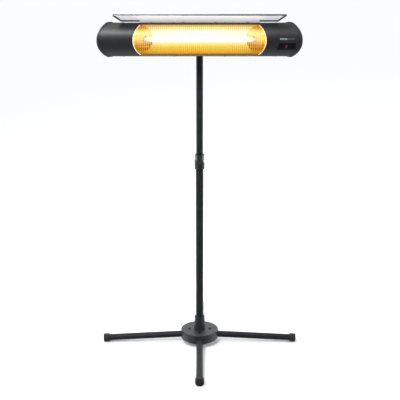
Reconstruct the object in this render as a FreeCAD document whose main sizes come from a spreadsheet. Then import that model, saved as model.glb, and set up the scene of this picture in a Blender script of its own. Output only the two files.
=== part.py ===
import FreeCAD, Part
import Sketcher
import math
import os

# Free-standing infrared patio heater: a four-legged foot, a two-part mast and a long curved
# heating head that tilts on the mast. Millimetres, Z up, the mast's axis is the Z axis, the
# floor is Z = 0 and the head faces -Y.

Vector = FreeCAD.Vector

# name: (millimetres or degrees, what it sets)
SIZES = {
    # foot
    "leg_reach": (426.0, "mast axis to the outer end of a leg"),
    "leg_radius": (14.0, "leg tube"),
    "leg_wall": (1.5, "leg tube wall"),
    "leg_inset": (24.0, "mast axis to the inner end of a leg"),
    "leg_slope": (3.0, "degrees that a leg falls towards its end"),
    "foot_radius": (18.0, "rubber end cap"),
    "foot_length": (25.0, "rubber end cap"),
    "foot_flat": (0.6, "depth of the flat that stands on the floor"),
    "foot_end": (4.0, "end wall of the rubber cap"),
    "hub_radius": (81.6, "hub cover"),
    "hub_top": (61.5, "height of the hub cover's top"),
    "hub_height": (38.8, "hub cover"),
    "hub_wall": (3.0, "hub cover"),
    "hub_round": (2.5, "rounding of the hub cover's top edge"),
    "plate_height": (18.0, "underside of the hub plate"),
    "plate_wall": (3.0, "hub plate"),
    "leg_screw_place": (45.0, "mast axis to a leg screw"),
    "leg_screw_radius": (3.0, "M6 leg screw"),
    # mast
    "lower_radius": (16.0, "lower mast tube"),
    "upper_radius": (14.0, "upper mast tube"),
    "mast_wall": (1.5, "both mast tubes"),
    "mast_bolt_radius": (4.0, "M8 bolt under the mast"),
    "socket_height": (60.0, "mast socket above the hub"),
    "socket_wall": (5.4, "mast socket, at its top"),
    "socket_flare": (3.8, "extra radius at the mast socket's foot"),
    "socket_rim": (6.8, "height of the socket's rim"),
    "socket_rim_step": (0.6, "rim beyond the socket"),
    "collar_base": (795.5, "height of the collar's lower end"),
    "sleeve_height": (25.0, "plain sleeve of the collar"),
    "sleeve_wall": (4.5, "plain sleeve of the collar"),
    "lever_height": (11.0, "clamp lever"),
    "lever_gap": (1.0, "clamp lever to the pieces above and below it"),
    "band_height": (21.5, "bright band"),
    "ring_wall": (1.28, "split clamp ring round the end of the lower tube"),
    "band_wall": (2.6, "bright band"),
    "collar_cap": (2.5, "top flange of the collar"),
    "lever_wall": (2.5, "arm of the clamp lever"),
    "knuckle_gap": (0.62, "split clamp ring to the lever's knuckle"),
    "lever_pin_radius": (2.0, "lever pin"),
    "knuckle_radius": (5.2, "clamp lever round its pin"),
    "yoke_half_width": (8.8, "clamp yoke"),
    "upper_hidden": (322.0, "upper tube inside the lower tube, below the collar"),
    "bush_height": (12.0, "guide bush below the upper tube"),
    "bush_spigot": (20.0, "guide bush inside the upper tube"),
    # tilt joint
    "head_height": (1346.5, "height of the tilt axis and of the head's middle"),
    "fork_neck": (40.0, "tilt axis to the top of the upper tube"),
    "fork_floor": (6.0, "shoulder under the fork's ears"),
    "fork_plug": (25.0, "fork inside the tube"),
    "ear_wall": (6.0, "fork ear"),
    "ear_radius": (14.0, "fork ear round the tilt axis"),
    "tongue_width": (17.2, "tilt arm between the ears"),
    "washer_wall": (1.2, "friction washer"),
    "tilt_bolt_radius": (4.0, "M8 tilt bolt"),
    "knob_radius": (20.0, "tilt knob"),
    "knob_height": (22.0, "tilt knob"),
    # head
    "back_place": (58.0, "mast axis to the head's rear face"),
    "back_depth": (52.0, "rear face to the rear edge of the front curve"),
    "front_bulge": (37.0, "depth of the front curve"),
    "half_height": (65.5, "housing, middle to top"),
    "flange_depth": (12.0, "flat flange behind the front curve"),
    "back_half_height": (48.3, "rear cover where its slope ends"),
    "back_corner": (3.0, "cut corner of the rear cover"),
    "shell_wall": (2.0, "housing"),
    "cover_wall": (1.5, "rear cover"),
    "end_place": (361.8, "half length over the caps, at the front curve's rear edge"),
    "cap_wall": (3.0, "end cap"),
    "cap_proud": (3.0, "end cap beyond the housing"),
    "cap_skirt": (8.0, "end cap inside the housing"),
    "opening_place": (225.3, "half length of the opening, at the front curve's rear edge"),
    "opening_half": (58.5, "half height of the opening"),
    "cheek_wall": (1.2, "reflector end plate"),
    "trough_half": (55.0, "half height of the reflector's mouth"),
    "trough_depth": (39.0, "reflector"),
    "trough_wall": (1.0, "reflector"),
    "grille_gap": (0.7, "housing to grille"),
    "wire_width": (1.8, "grille wire"),
    "wire_pitch": (8.0, "grille wires, middle to middle"),
    "wire_reach": (60.5, "half height of a grille wire"),
    "rod_near": (25.0, "long wires, middle to the inner ones"),
    "rod_far": (53.0, "long wires, middle to the outer ones"),
    "lamp_place": (100.0, "mast axis to the lamp's axis"),
    "lamp_radius": (9.0, "quartz tube"),
    "lamp_wall": (1.4, "quartz tube"),
    "lamp_half": (240.0, "half length of the quartz tube"),
    "filament_radius": (3.0, "carbon element"),
    "lamp_cap_radius": (11.0, "ceramic end of the lamp"),
    "lamp_cap_length": (28.0, "ceramic end of the lamp"),
    "window_left": (302.0, "display window, at its lower corner"),
    "window_right": (376.0, "display window"),
    "window_middle": (-23.0, "display window, height of its middle"),
    "window_half": (13.5, "display window"),
    "window_slant": (9.0, "display window's slanted left side"),
    # visor
    "visor_rise": (22.0, "degrees that the visor rises towards the front"),
    "visor_lift": (6.0, "visor above the rear cover"),
    "visor_front": (79.3, "visor in front of its notches"),
    "visor_half": (336.0, "half width of the visor's front edge"),
    "visor_wing_half": (308.0, "half width of the visor at its notches"),
    "visor_tab_half": (236.0, "half width of the visor's fixed part"),
    "visor_tab": (38.0, "visor behind its notches"),
    "visor_lip": (5.5, "folded edge of the visor"),
    "visor_wall": (1.2, "visor"),
    # fits
    "press_gap": (0.1, "pieces of one body that fit together"),
    "run_gap": (0.08, "shaft in its hole"),
    "free_gap": (0.3, "moving pieces that only pass each other"),
}

doc = FreeCAD.newDocument("patio_heater")
sheet = doc.addObject("Spreadsheet::Sheet", "Sizes")


class Size:
    """A number together with the spreadsheet formula that it comes from."""

    def __init__(self, value, formula):
        self.value = value
        self.formula = formula

    def __add__(self, other):
        other = as_size(other)
        return Size(self.value + other.value, "(%s + %s)" % (self.formula, other.formula))

    def __radd__(self, other):
        return as_size(other) + self

    def __neg__(self):
        return Size(-self.value, "(-1 * %s)" % self.formula)

    def __sub__(self, other):
        return self + (-as_size(other))

    def __rsub__(self, other):
        return as_size(other) + (-self)

    def __mul__(self, other):
        other = as_size(other)
        return Size(self.value * other.value, "(%s * %s)" % (self.formula, other.formula))

    def __rmul__(self, other):
        return as_size(other) * self

    def __truediv__(self, other):
        other = as_size(other)
        return Size(self.value / other.value, "(%s / %s)" % (self.formula, other.formula))


def as_size(number):
    return number if isinstance(number, Size) else Size(float(number), "%.9f" % number)


def root(size):
    return Size(math.sqrt(size.value), "sqrt(%s)" % size.formula)


def tangent(size):
    return Size(math.tan(math.radians(size.value)), "tan(%s)" % size.formula)


def cosine(size):
    return Size(math.cos(math.radians(size.value)), "cos(%s)" % size.formula)


class Sheet:
    """Reads each driving dimension as a Size."""

    def __init__(self):
        for row, (name, (value, note)) in enumerate(SIZES.items(), start=1):
            sheet.set("A%d" % row, note)
            sheet.set("B%d" % row, repr(value))
            sheet.setAlias("B%d" % row, name)
            setattr(self, name, Size(value, "Sizes.%s" % name))


s = Sheet()
doc.recompute()

MADE = []


# ---------------------------------------------------------------- modelling helpers

def bind(thing, **properties):
    for name, size in properties.items():
        path = name.replace("__", ".")
        thing.setExpression(path, as_size(size).formula)


def finish(thing, label):
    """Names a finished sub-part, whose Label is also the name of its file."""
    thing.Label = label
    MADE.append(thing)
    return thing


def turned(thing, x, y, z, axis=Vector(0, 0, 1), degrees=0.0):
    thing.Placement = FreeCAD.Placement(Vector(0, 0, 0), FreeCAD.Rotation(axis, degrees))
    bind(thing, Placement__Base__x=x, Placement__Base__y=y, Placement__Base__z=z)
    return thing


def own_place(thing):
    """A plain box or cylinder is already placed, so what moves it further goes round it."""
    return group(thing) if thing.TypeId in ("Part::Box", "Part::Cylinder") else thing


def lifted(thing):
    """Pieces of the head are drawn about the tilt axis and lifted to its height."""
    return turned(own_place(thing), 0, 0, s.head_height)


def block(x0, x1, y0, y1, z0, z1):
    box = doc.addObject("Part::Box", "Block")
    bind(box, Length=as_size(x1) - x0, Width=as_size(y1) - y0, Height=as_size(z1) - z0)
    return turned(box, x0, y0, z0)


ALONG = {
    "x": (Vector(0, 1, 0), 90.0),
    "y": (Vector(1, 0, 0), -90.0),
    "z": (Vector(0, 0, 1), 0.0),
}


def rod(along, radius, start, end, first=0, second=0):
    """A cylinder along an axis; first and second are its other two coordinates in X, Y, Z order."""
    bar = doc.addObject("Part::Cylinder", "Rod")
    bind(bar, Radius=radius, Height=as_size(end) - start)
    place = {"x": (start, first, second), "y": (first, start, second), "z": (first, second, start)}
    axis, degrees = ALONG[along]
    return turned(bar, *place[along], axis=axis, degrees=degrees)


def fused(*things):
    whole = doc.addObject("Part::MultiFuse", "Fused")
    whole.Shapes = list(things)
    return whole


def cut(base, *tools):
    for tool in tools:
        rest = doc.addObject("Part::Cut", "Cut")
        rest.Base = base
        rest.Tool = tool
        base = rest
    return base


def common(first, second):
    both = doc.addObject("Part::Common", "Common")
    both.Base = first
    both.Tool = second
    return both


def group(*things):
    """Separate solids that share one node, such as identical fasteners."""
    several = doc.addObject("Part::Compound", "Group")
    several.Links = list(things)
    return several


def tube(along, outer, inner, start, end, first=0, second=0):
    return cut(rod(along, outer, start, end, first, second),
               rod(along, inner, start - as_size(1), end + as_size(1), first, second))


def new_body():
    return doc.addObject("PartDesign::Body", "Body")


def sketch_on(body, role, offset=0):
    sketch = body.newObject("Sketcher::SketchObject", "Sketch")
    plane = [item for item in body.Origin.OriginFeatures if item.Role == role][0]
    sketch.AttachmentSupport = [(plane, "")]
    sketch.MapMode = "FlatFace"
    bind(sketch, AttachmentOffset__Base__z=offset)
    return sketch


def hold_point(sketch, edge, end, x, y):
    """Fixes one point of an edge at a place given by the sheet; None leaves a direction free."""
    for kind, letter, size in (("DistanceX", "x", x), ("DistanceY", "y", y)):
        if size is None:
            continue
        size = as_size(size)
        index = sketch.addConstraint(Sketcher.Constraint(kind, edge, end, size.value))
        name = "%s_%d_%d" % (letter, edge, end)
        sketch.renameConstraint(index, name)
        sketch.setExpression("Constraints." + name, size.formula)


def outline(sketch, corners):
    """Draws a closed outline. A corner is (x, y), or (x, y, (turn, cx, cy, held)) where the edge
    to the next corner is an arc about (cx, cy), turning ccw or cw, with that centre's x or y held."""
    flat = []
    for corner in corners:
        arc = corner[2] if len(corner) > 2 else None
        flat.append((as_size(corner[0]), as_size(corner[1]), arc))
    first_edge = len(sketch.Geometry)
    ends = []
    for index, (x, y, arc) in enumerate(flat):
        next_x, next_y, _ = flat[(index + 1) % len(flat)]
        start = Vector(x.value, y.value, 0)
        stop = Vector(next_x.value, next_y.value, 0)
        if arc is None:
            sketch.addGeometry(Part.LineSegment(start, stop), False)
            ends.append((1, 2))
            continue
        turn, cx, cy, _ = arc
        centre = Vector(as_size(cx).value, as_size(cy).value, 0)
        ahead = [math.atan2(point.y - centre.y, point.x - centre.x) for point in (start, stop)]
        low, high = ahead if turn == "ccw" else reversed(ahead)
        if high <= low:
            high += 2 * math.pi
        circle = Part.Circle(centre, Vector(0, 0, 1), start.distanceToPoint(centre))
        sketch.addGeometry(Part.ArcOfCircle(circle, low, high), False)
        ends.append((1, 2) if turn == "ccw" else (2, 1))
    for index, (x, y, arc) in enumerate(flat):
        edge = first_edge + index
        following = (index + 1) % len(flat)
        sketch.addConstraint(Sketcher.Constraint(
            "Coincident", edge, ends[index][1], first_edge + following, ends[following][0]))
        hold_point(sketch, edge, ends[index][0], x, y)
        if arc is not None:
            held = arc[3]
            hold_point(sketch, edge, 3, arc[1] if held == "x" else None,
                       arc[2] if held == "y" else None)


def circle(sketch, x, y, radius):
    x, y, radius = as_size(x), as_size(y), as_size(radius)
    edge = sketch.addGeometry(
        Part.Circle(Vector(x.value, y.value, 0), Vector(0, 0, 1), radius.value), False)
    hold_point(sketch, edge, 3, x, y)
    index = sketch.addConstraint(Sketcher.Constraint("Radius", edge, radius.value))
    name = "radius_%d" % edge
    sketch.renameConstraint(index, name)
    sketch.setExpression("Constraints." + name, radius.formula)


def pad(body, sketch, length, middle=False, reverse=False):
    feature = body.newObject("PartDesign::Pad", "Pad")
    feature.Profile = sketch
    feature.SideType = "Symmetric" if middle else "One side"
    feature.Reversed = reverse
    bind(feature, Length=length)
    return feature


def pocket(body, sketch, length, middle=False, reverse=False):
    feature = body.newObject("PartDesign::Pocket", "Pocket")
    feature.Profile = sketch
    feature.SideType = "Symmetric" if middle else "One side"
    feature.Reversed = reverse
    bind(feature, Length=length)
    return feature


def spun(corners):
    """A body of revolution about Z, from a half section in the XZ plane."""
    body = new_body()
    sketch = sketch_on(body, "XZ_Plane")
    outline(sketch, corners)
    turn = body.newObject("PartDesign::Revolution", "Revolution")
    turn.Profile = sketch
    turn.ReferenceAxis = (sketch, ["V_Axis"])
    turn.Angle = 360.0
    return body


def drawn(role, corners, length, offset=0, middle=False, reverse=False):
    """A body padded from one outline."""
    body = new_body()
    sketch = sketch_on(body, role, offset)
    outline(sketch, corners)
    pad(body, sketch, length, middle, reverse)
    return body


def round_edges(body, radius, chosen):
    """Fillets the edges of the body's last feature that pass the test."""
    doc.recompute()
    tip = body.Tip
    names = ["Edge%d" % (index + 1) for index, edge in enumerate(tip.Shape.Edges) if chosen(edge)]
    fillet = body.newObject("PartDesign::Fillet", "Fillet")
    fillet.Base = (tip, names)
    bind(fillet, Radius=radius)
    doc.recompute()
    return fillet


def near(value, size):
    return abs(value - as_size(size).value) < 0.01


def screw(along, radius, head_radius, head, tip, head_wall, first=0, second=0):
    """Head plane to tip; a tip above the head plane makes the screw point the other way."""
    up = as_size(tip).value > as_size(head).value
    shank = rod(along, radius, head, tip, first, second) if up else \
        rod(along, radius, tip, head, first, second)
    start = as_size(head) - head_wall if up else as_size(head)
    return fused(shank, rod(along, head_radius, start, start + head_wall, first, second))


# ---------------------------------------------------------------- foot

HEADINGS = {"front": -90.0, "right": 0.0, "rear": 90.0, "left": 180.0}

plate_top = s.plate_height + s.plate_wall
axis_at_end = s.foot_radius - s.foot_flat
hub_bottom = s.hub_top - s.hub_height


def leg_axis_height(radius):
    return axis_at_end + (s.leg_reach - radius) * tangent(s.leg_slope)


def on_leg(thing, heading):
    """Moves a piece drawn along local X, whose outer end is the origin, to the end of its leg."""
    spin = FreeCAD.Rotation(Vector(0, 0, 1), heading)
    fall = FreeCAD.Rotation(Vector(0, 1, 0), s.leg_slope.value)
    thing.Placement = FreeCAD.Placement(Vector(0, 0, 0), spin * fall)
    bind(thing, Placement__Base__x=s.leg_reach * round(math.cos(math.radians(heading))),
         Placement__Base__y=s.leg_reach * round(math.sin(math.radians(heading))),
         Placement__Base__z=axis_at_end)
    return thing


def leg_screw_spot(heading):
    return (s.leg_screw_place * round(math.cos(math.radians(heading))),
            s.leg_screw_place * round(math.sin(math.radians(heading))))


def make_hub_cover():
    inside = s.hub_radius - s.hub_wall
    bore = s.lower_radius + s.press_gap
    ceiling = s.hub_top - s.hub_wall
    body = spun([
        (bore, ceiling), (inside, ceiling), (inside, hub_bottom), (s.hub_radius, hub_bottom),
        (s.hub_radius, s.hub_top), (bore, s.hub_top)])
    rim = s.hub_radius
    round_edges(body, s.hub_round, lambda edge: near(edge.BoundBox.ZMin, s.hub_top)
                and near(edge.BoundBox.XMax, rim))
    spread = s.leg_radius + s.free_gap
    axis = leg_axis_height(s.hub_radius - s.hub_wall)
    slot = [(-spread, hub_bottom - 5), (spread, hub_bottom - 5),
            (spread, axis, ("ccw", 0, axis, "y")), (-spread, axis)]
    for role in ("YZ_Plane", "XZ_Plane"):
        sketch = sketch_on(body, role)
        outline(sketch, slot)
        pocket(body, sketch, s.hub_radius * 2 + 20, middle=True)
    bosses = []
    holes = []
    for heading in HEADINGS.values():
        x, y = leg_screw_spot(heading)
        leg_top = leg_axis_height(s.leg_screw_place - 8) + s.leg_radius / cosine(s.leg_slope)
        bosses.append(rod("z", s.leg_screw_radius + 3, leg_top + 0.1, ceiling + 1, x, y))
        holes.append(rod("z", s.leg_screw_radius + s.press_gap, leg_top - 5, s.hub_top + 5, x, y))
    return finish(cut(fused(body, *bosses), *holes), "hub_cover")


def make_hub_plate():
    disc = rod("z", s.hub_radius - s.hub_wall - 1, s.plate_height, plate_top)
    holes = [rod("z", s.mast_bolt_radius + s.press_gap, s.plate_height - 1, plate_top + 1)]
    for heading in HEADINGS.values():
        x, y = leg_screw_spot(heading)
        holes.append(rod("z", s.leg_screw_radius + s.press_gap, s.plate_height - 1, plate_top + 1,
                         x, y))
    return finish(cut(disc, *holes), "hub_plate")


def make_leg(name, heading):
    length = (s.leg_reach - s.leg_inset) / cosine(s.leg_slope)
    pipe = tube("x", s.leg_radius, s.leg_radius - s.leg_wall, -length, -s.foot_end - 0.2)
    on_leg(pipe, heading)
    x, y = leg_screw_spot(heading)
    hole = rod("z", s.leg_screw_radius + s.press_gap, plate_top, s.hub_top, x, y)
    finish(cut(pipe, hole), "leg_" + name)


def make_foot(name, heading):
    grip = s.leg_radius + s.press_gap
    body = new_body()
    sketch = sketch_on(body, "YZ_Plane")
    circle(sketch, 0, 0, s.foot_radius)
    pad(body, sketch, s.foot_length, reverse=True)
    round_edges(body, 1.2, lambda edge: near(edge.BoundBox.XMin, 0)
                and near(edge.BoundBox.XMax, 0))
    sketch = sketch_on(body, "YZ_Plane", -s.foot_length)
    circle(sketch, 0, 0, grip)
    pocket(body, sketch, s.foot_length - s.foot_end, reverse=True)
    on_leg(body, heading)
    reach = s.leg_reach + s.foot_radius
    below_floor = block(-reach, reach, -reach, reach, -s.foot_radius, 0)
    finish(cut(body, below_floor), "foot_" + name)


def make_leg_screws():
    screws = []
    nuts = []
    for heading in HEADINGS.values():
        x, y = leg_screw_spot(heading)
        tip = s.plate_height - 6
        screws.append(screw("z", s.leg_screw_radius, s.leg_screw_radius + 2.5, s.hub_top, tip,
                            3.0, x, y))
        nut = rod("z", s.leg_screw_radius + 2.6, s.plate_height - 4.8, s.plate_height, x, y)
        hole = rod("z", s.leg_screw_radius + s.press_gap, s.plate_height - 6, plate_top, x, y)
        nuts.append(cut(nut, hole))
    finish(group(*screws), "leg_screws")
    finish(group(*nuts), "leg_nuts")


def make_mast_socket():
    bore = s.lower_radius + s.press_gap
    outer = s.lower_radius + s.socket_wall
    top = s.hub_top + s.socket_height
    under_rim = top - s.socket_rim
    foot = outer + s.socket_flare
    body = spun([
        (bore, s.hub_top), (foot, s.hub_top), (foot, s.hub_top + 3), (outer, under_rim),
        (outer + s.socket_rim_step, under_rim), (outer + s.socket_rim_step, top), (bore, top)])
    round_edges(body, 0.5, lambda edge: near(edge.BoundBox.ZMin, top)
                and edge.BoundBox.XMax > outer.value)
    finish(body, "mast_socket")


# ---------------------------------------------------------------- mast

sleeve_top = s.collar_base + s.sleeve_height
lever_low = sleeve_top + s.lever_gap
lever_high = lever_low + s.lever_height
band_low = lever_high + s.lever_gap
band_high = band_low + s.band_height
collar_top = band_high + s.collar_cap
lower_mast_top = collar_top - 7
ring_radius = s.lower_radius + s.press_gap + s.ring_wall
lever_pin_place = ring_radius + s.knuckle_radius + s.knuckle_gap
sleeve_radius = s.lower_radius + s.press_gap + s.sleeve_wall
tube_end = s.head_height - s.fork_neck
upper_foot = s.collar_base - s.upper_hidden + 60
bolt_head_wall = 5.0


def make_mast_foot():
    inside = s.lower_radius - s.mast_wall
    plug = tube("z", inside - s.press_gap, s.mast_bolt_radius + s.press_gap, plate_top,
                plate_top + 20)
    finish(plug, "mast_plug")
    bolt = screw("z", s.mast_bolt_radius, s.mast_bolt_radius + 2.6, s.plate_height,
                 plate_top + 18, bolt_head_wall)
    finish(bolt, "mast_bolt")
    finish(tube("z", s.lower_radius, inside, plate_top, lower_mast_top), "lower_mast")


def make_collar():
    # the narrow part is a ring that grips the upper tube, split at the front by a saw cut
    grip = s.upper_radius + s.run_gap
    lower_bore = s.lower_radius + s.press_gap
    shoulder = lower_mast_top + s.press_gap
    body = spun([
        (lower_bore, s.collar_base), (sleeve_radius, s.collar_base), (sleeve_radius, sleeve_top),
        (ring_radius, sleeve_top), (ring_radius, band_high),
        (ring_radius + s.band_wall - 1, band_high), (ring_radius + s.band_wall - 1, collar_top),
        (grip, collar_top), (grip, shoulder), (lower_bore, shoulder)])
    lug = cut(block(-s.knuckle_radius, s.knuckle_radius, -lever_pin_place - s.knuckle_radius,
                    -ring_radius, sleeve_top - 8, sleeve_top + s.free_gap),
              rod("z", lower_bore + 1, sleeve_top - 9, sleeve_top + 1))
    pin_hole = rod("z", s.lever_pin_radius + 0.05, sleeve_top - 6, sleeve_top + 1, 0,
                   -lever_pin_place)
    saw_cut = block(-1.2, 1.2, -ring_radius - s.band_wall - 1, 0, lever_low + 4, collar_top + 1)
    finish(cut(fused(body, lug), pin_hole, saw_cut), "collar_sleeve")


def make_clamp():
    inner = ring_radius + s.press_gap
    outer = ring_radius + s.band_wall
    ring = tube("z", outer, inner, band_low, band_high - s.press_gap)
    gap = s.yoke_half_width + s.press_gap
    front_gap = block(-gap, gap, -outer - 5, 0, band_low - 1, band_high + 1)
    finish(cut(ring, front_gap), "clamp_band")
    front = lever_pin_place + s.knuckle_radius
    yoke = block(-s.yoke_half_width, s.yoke_half_width, -front, -ring_radius + 4, band_low,
                 band_high - s.press_gap)
    bore = rod("z", inner, band_low - 1, band_high + 1)
    pin_hole = rod("z", s.lever_pin_radius + 0.05, band_low - 1, band_low + 10, 0,
                   -lever_pin_place)
    finish(cut(yoke, bore, pin_hole), "clamp_yoke")
    finish(rod("z", s.lever_pin_radius, sleeve_top - 5.5, band_low + 9.5, 0,
               -lever_pin_place), "lever_pin")


def make_lever():
    inner = ring_radius + s.free_gap
    outer = inner + s.lever_wall
    ring = tube("z", outer, inner, lever_low, lever_high)
    left_front = block(-outer - 1, -4, -outer - 1, 0, lever_low - 1, lever_high + 1)
    tip = doc.addObject("Part::Box", "Tip")
    bind(tip, Length=2.2, Width=9.0, Height=s.lever_height)
    turned(tip, -inner - 0.8, -0.6, lever_low, degrees=18.0)
    knuckle = rod("z", s.knuckle_radius, lever_low, lever_high, 0, -lever_pin_place)
    web = block(-7.5, 0, -lever_pin_place, -inner + 1.2, lever_low, lever_high)
    pin_hole = rod("z", s.lever_pin_radius + s.run_gap, lever_low - 1, lever_high + 1, 0,
                   -lever_pin_place)
    clear = rod("z", inner, lever_low - 1, lever_high + 1)
    arm = cut(fused(common(ring, left_front), tip, web), clear)
    finish(cut(fused(arm, knuckle), pin_hole), "clamp_lever")


def make_upper_mast():
    inside = s.upper_radius - s.mast_wall
    slide = s.lower_radius - s.mast_wall - s.run_gap
    spigot = inside - s.run_gap
    body = spun([
        (0, upper_foot - s.bush_height), (slide, upper_foot - s.bush_height),
        (slide, upper_foot - s.press_gap), (spigot, upper_foot - s.press_gap),
        (spigot, upper_foot + s.bush_spigot), (0, upper_foot + s.bush_spigot)])
    finish(body, "mast_bush")
    pipe = tube("z", s.upper_radius, inside, upper_foot, tube_end)
    cross_hole = rod("y", 2.5 + s.press_gap, 0, s.upper_radius + 2, 0, tube_end - s.fork_plug / 2)
    finish(cut(pipe, cross_hole), "upper_mast")


# ---------------------------------------------------------------- tilt joint (drawn about the axis)

ear_inner = s.tongue_width / 2 + s.washer_wall + s.press_gap * 2
ear_outer = ear_inner + s.ear_wall


def make_fork():
    plug = s.upper_radius - s.mast_wall - s.press_gap
    shoulder = s.upper_radius + 1.5
    floor_top = -s.fork_neck + s.fork_floor
    base = fused(rod("z", plug, -s.fork_neck - s.fork_plug, -s.fork_neck),
                 rod("z", shoulder, -s.fork_neck, floor_top))
    ear = [(-s.ear_radius, floor_top), (s.ear_radius, floor_top),
           (s.ear_radius, 0, ("ccw", 0, 0, "y")), (-s.ear_radius, 0)]
    ears = [drawn("YZ_Plane", ear, s.ear_wall, offset=ear_inner),
            drawn("YZ_Plane", ear, s.ear_wall, offset=-ear_outer)]
    foot = block(-ear_outer, ear_outer, -s.ear_radius + 3, s.ear_radius - 3,
                 -s.fork_neck + 2, floor_top)
    bore = rod("x", s.tilt_bolt_radius + s.press_gap, -ear_outer - 1, ear_outer + 1)
    cross_hole = rod("y", 2.5 + s.press_gap, 0, s.upper_radius, 0,
                     -s.fork_neck - s.fork_plug / 2)
    finish(lifted(cut(fused(base, foot, *ears), bore, cross_hole)), "mast_fork")
    set_screw = screw("y", 2.5, 4.2, s.upper_radius, 2, 2.5, 0, -s.fork_neck - s.fork_plug / 2)
    finish(lifted(set_screw), "fork_screw")
    knob_start = ear_outer + 1.5
    bolt = screw("x", s.tilt_bolt_radius, s.tilt_bolt_radius + 2.6, -ear_outer,
                 knob_start + s.knob_height - 4, bolt_head_wall)
    finish(lifted(bolt), "tilt_bolt")
    washers = []
    for low in (s.tongue_width / 2 + s.press_gap, -ear_inner + s.press_gap):
        washers.append(tube("x", s.ear_radius - 2, s.tilt_bolt_radius + s.press_gap, low,
                            low + s.washer_wall))
    finish(lifted(group(*washers)), "friction_washers")


def make_knob():
    start = ear_outer + 1.5
    body = new_body()
    sketch = sketch_on(body, "YZ_Plane", start)
    circle(sketch, 0, 0, s.knob_radius)
    pad(body, sketch, s.knob_height)
    round_edges(body, 2.5, lambda edge: near(edge.BoundBox.XMin, start + s.knob_height))
    sketch = sketch_on(body, "YZ_Plane", start)
    circle(sketch, 0, s.knob_radius + 2.5, 6.0)
    groove = pocket(body, sketch, s.knob_height + 1, reverse=True)
    doc.recompute()
    around = body.newObject("PartDesign::PolarPattern", "PolarPattern")
    around.Originals = [groove]
    around.Axis = ([item for item in body.Origin.OriginFeatures if item.Role == "X_Axis"][0], [""])
    around.Angle = 360.0
    around.Occurrences = 6
    body.Tip = around
    sketch = sketch_on(body, "YZ_Plane", start)
    circle(sketch, 0, 0, s.tilt_bolt_radius + s.run_gap)
    pocket(body, sketch, s.knob_height - 3, reverse=True)
    finish(lifted(body), "tilt_knob")


def make_tilt_arm():
    plate_back = -s.back_place
    plate_wall = 4.0
    plate_front = plate_back + plate_wall
    body = drawn("YZ_Plane", [
        (0, s.ear_radius, ("cw", 0, 0, "x")), (0, -s.ear_radius), (-36, -s.ear_radius),
        (plate_front, -26), (plate_front, 26), (-36, s.ear_radius)], s.tongue_width, middle=True)
    sketch = sketch_on(body, "XZ_Plane", -plate_front)
    outline(sketch, [(-45, -34), (45, -34), (45, 34), (-45, 34)])
    pad(body, sketch, plate_wall)
    bore = rod("x", s.tilt_bolt_radius + s.run_gap, -s.tongue_width, s.tongue_width)
    holes = []
    screws = []
    for x in (-34, 34):
        for z in (-24, 24):
            holes.append(rod("y", 2.6, plate_back - 8, plate_front + 1, x, z))
            screws.append(screw("y", 2.5, 4.4, plate_front, plate_back - 6.5, 2.8, x, z))
    finish(lifted(cut(body, bore, *holes)), "tilt_arm")
    finish(lifted(group(*screws)), "arm_screws")
    inner_face = plate_back - s.cover_wall
    backing = block(-50, 50, inner_face - 3, inner_face - s.press_gap, -32, 32)
    through = [rod("y", 2.6, plate_back - 8, plate_front + 1, x, z)
               for x in (-34, 34) for z in (-24, 24)]
    finish(lifted(cut(backing, *through)), "backing_plate")


# ---------------------------------------------------------------- head (drawn about the axis)

curve_rear = -(s.back_place + s.back_depth)
curve_radius = (s.half_height * s.half_height + s.front_bulge * s.front_bulge) / (
    s.front_bulge * 2)
curve_middle = curve_rear - s.front_bulge + curve_radius
flange_rear = curve_rear + s.flange_depth
long_side = (s.end_place + s.back_depth * 2) * 2
cap_run = s.cap_wall * math.sqrt(2)


def curve_front(radius, height):
    """How far forward a curve about the housing's middle line reaches, at a height."""
    return curve_middle - root(radius * radius - as_size(height) * height)


def curved_band(outer, inner, high, low):
    """Corners of a strip of the front curve between two heights, in the YZ plane."""
    return [
        (curve_front(outer, high), high, ("ccw", curve_middle, 0, "x")),
        (curve_front(outer, low), low),
        (curve_front(inner, low), low, ("cw", curve_middle, 0, "x")),
        (curve_front(inner, high), high)]


def trim_ends(body, place, room=200):
    """Cuts both ends of a long piece at 45 degrees, so that it is longer towards the front.
    Place is the half length that is left, at the rear edge of the front curve."""
    far = long_side
    for side in (-1, 1):
        sketch = sketch_on(body, "XY_Plane")
        outline(sketch, [
            (side * (place - room), curve_rear + room), (side * (place + room), curve_rear - room),
            (side * far, curve_rear - room), (side * far, curve_rear + room)])
        pocket(body, sketch, 400, middle=True)
    return body


def mitre_slab(side, place, wall):
    """A slab parallel to the 45 degree ends; place is its outer face's half length."""
    slab = doc.addObject("Part::Box", "Slab")
    bind(slab, Length=600, Width=wall, Height=400)
    slab.Placement = FreeCAD.Placement(Vector(0, 0, 0),
                                       FreeCAD.Rotation(Vector(0, 0, 1), -45.0 * side))
    # the box is centred along the slope and lies just inside the outer face
    half = 300 / math.sqrt(2)
    shift = as_size(wall) / math.sqrt(2)
    if side > 0:
        bind(slab, Placement__Base__x=place - half - shift,
             Placement__Base__y=curve_rear + half - shift, Placement__Base__z=-200)
    else:
        bind(slab, Placement__Base__x=-place - half + shift,
             Placement__Base__y=curve_rear - half - shift, Placement__Base__z=-200)
    return slab


def head_profile(grow):
    """The head's whole cross-section, with every side moved outwards by grow."""
    high = s.half_height + grow
    radius = curve_radius + grow
    front = curve_front(radius, high)
    back = -s.back_place + grow
    low = s.back_half_height + grow * 0.8
    return [
        (front, high, ("ccw", curve_middle, 0, "x")), (front, -high), (flange_rear, -high),
        (back - s.back_corner, -low), (back, -low + s.back_corner),
        (back, low - s.back_corner), (back - s.back_corner, low), (flange_rear, high)]


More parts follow.
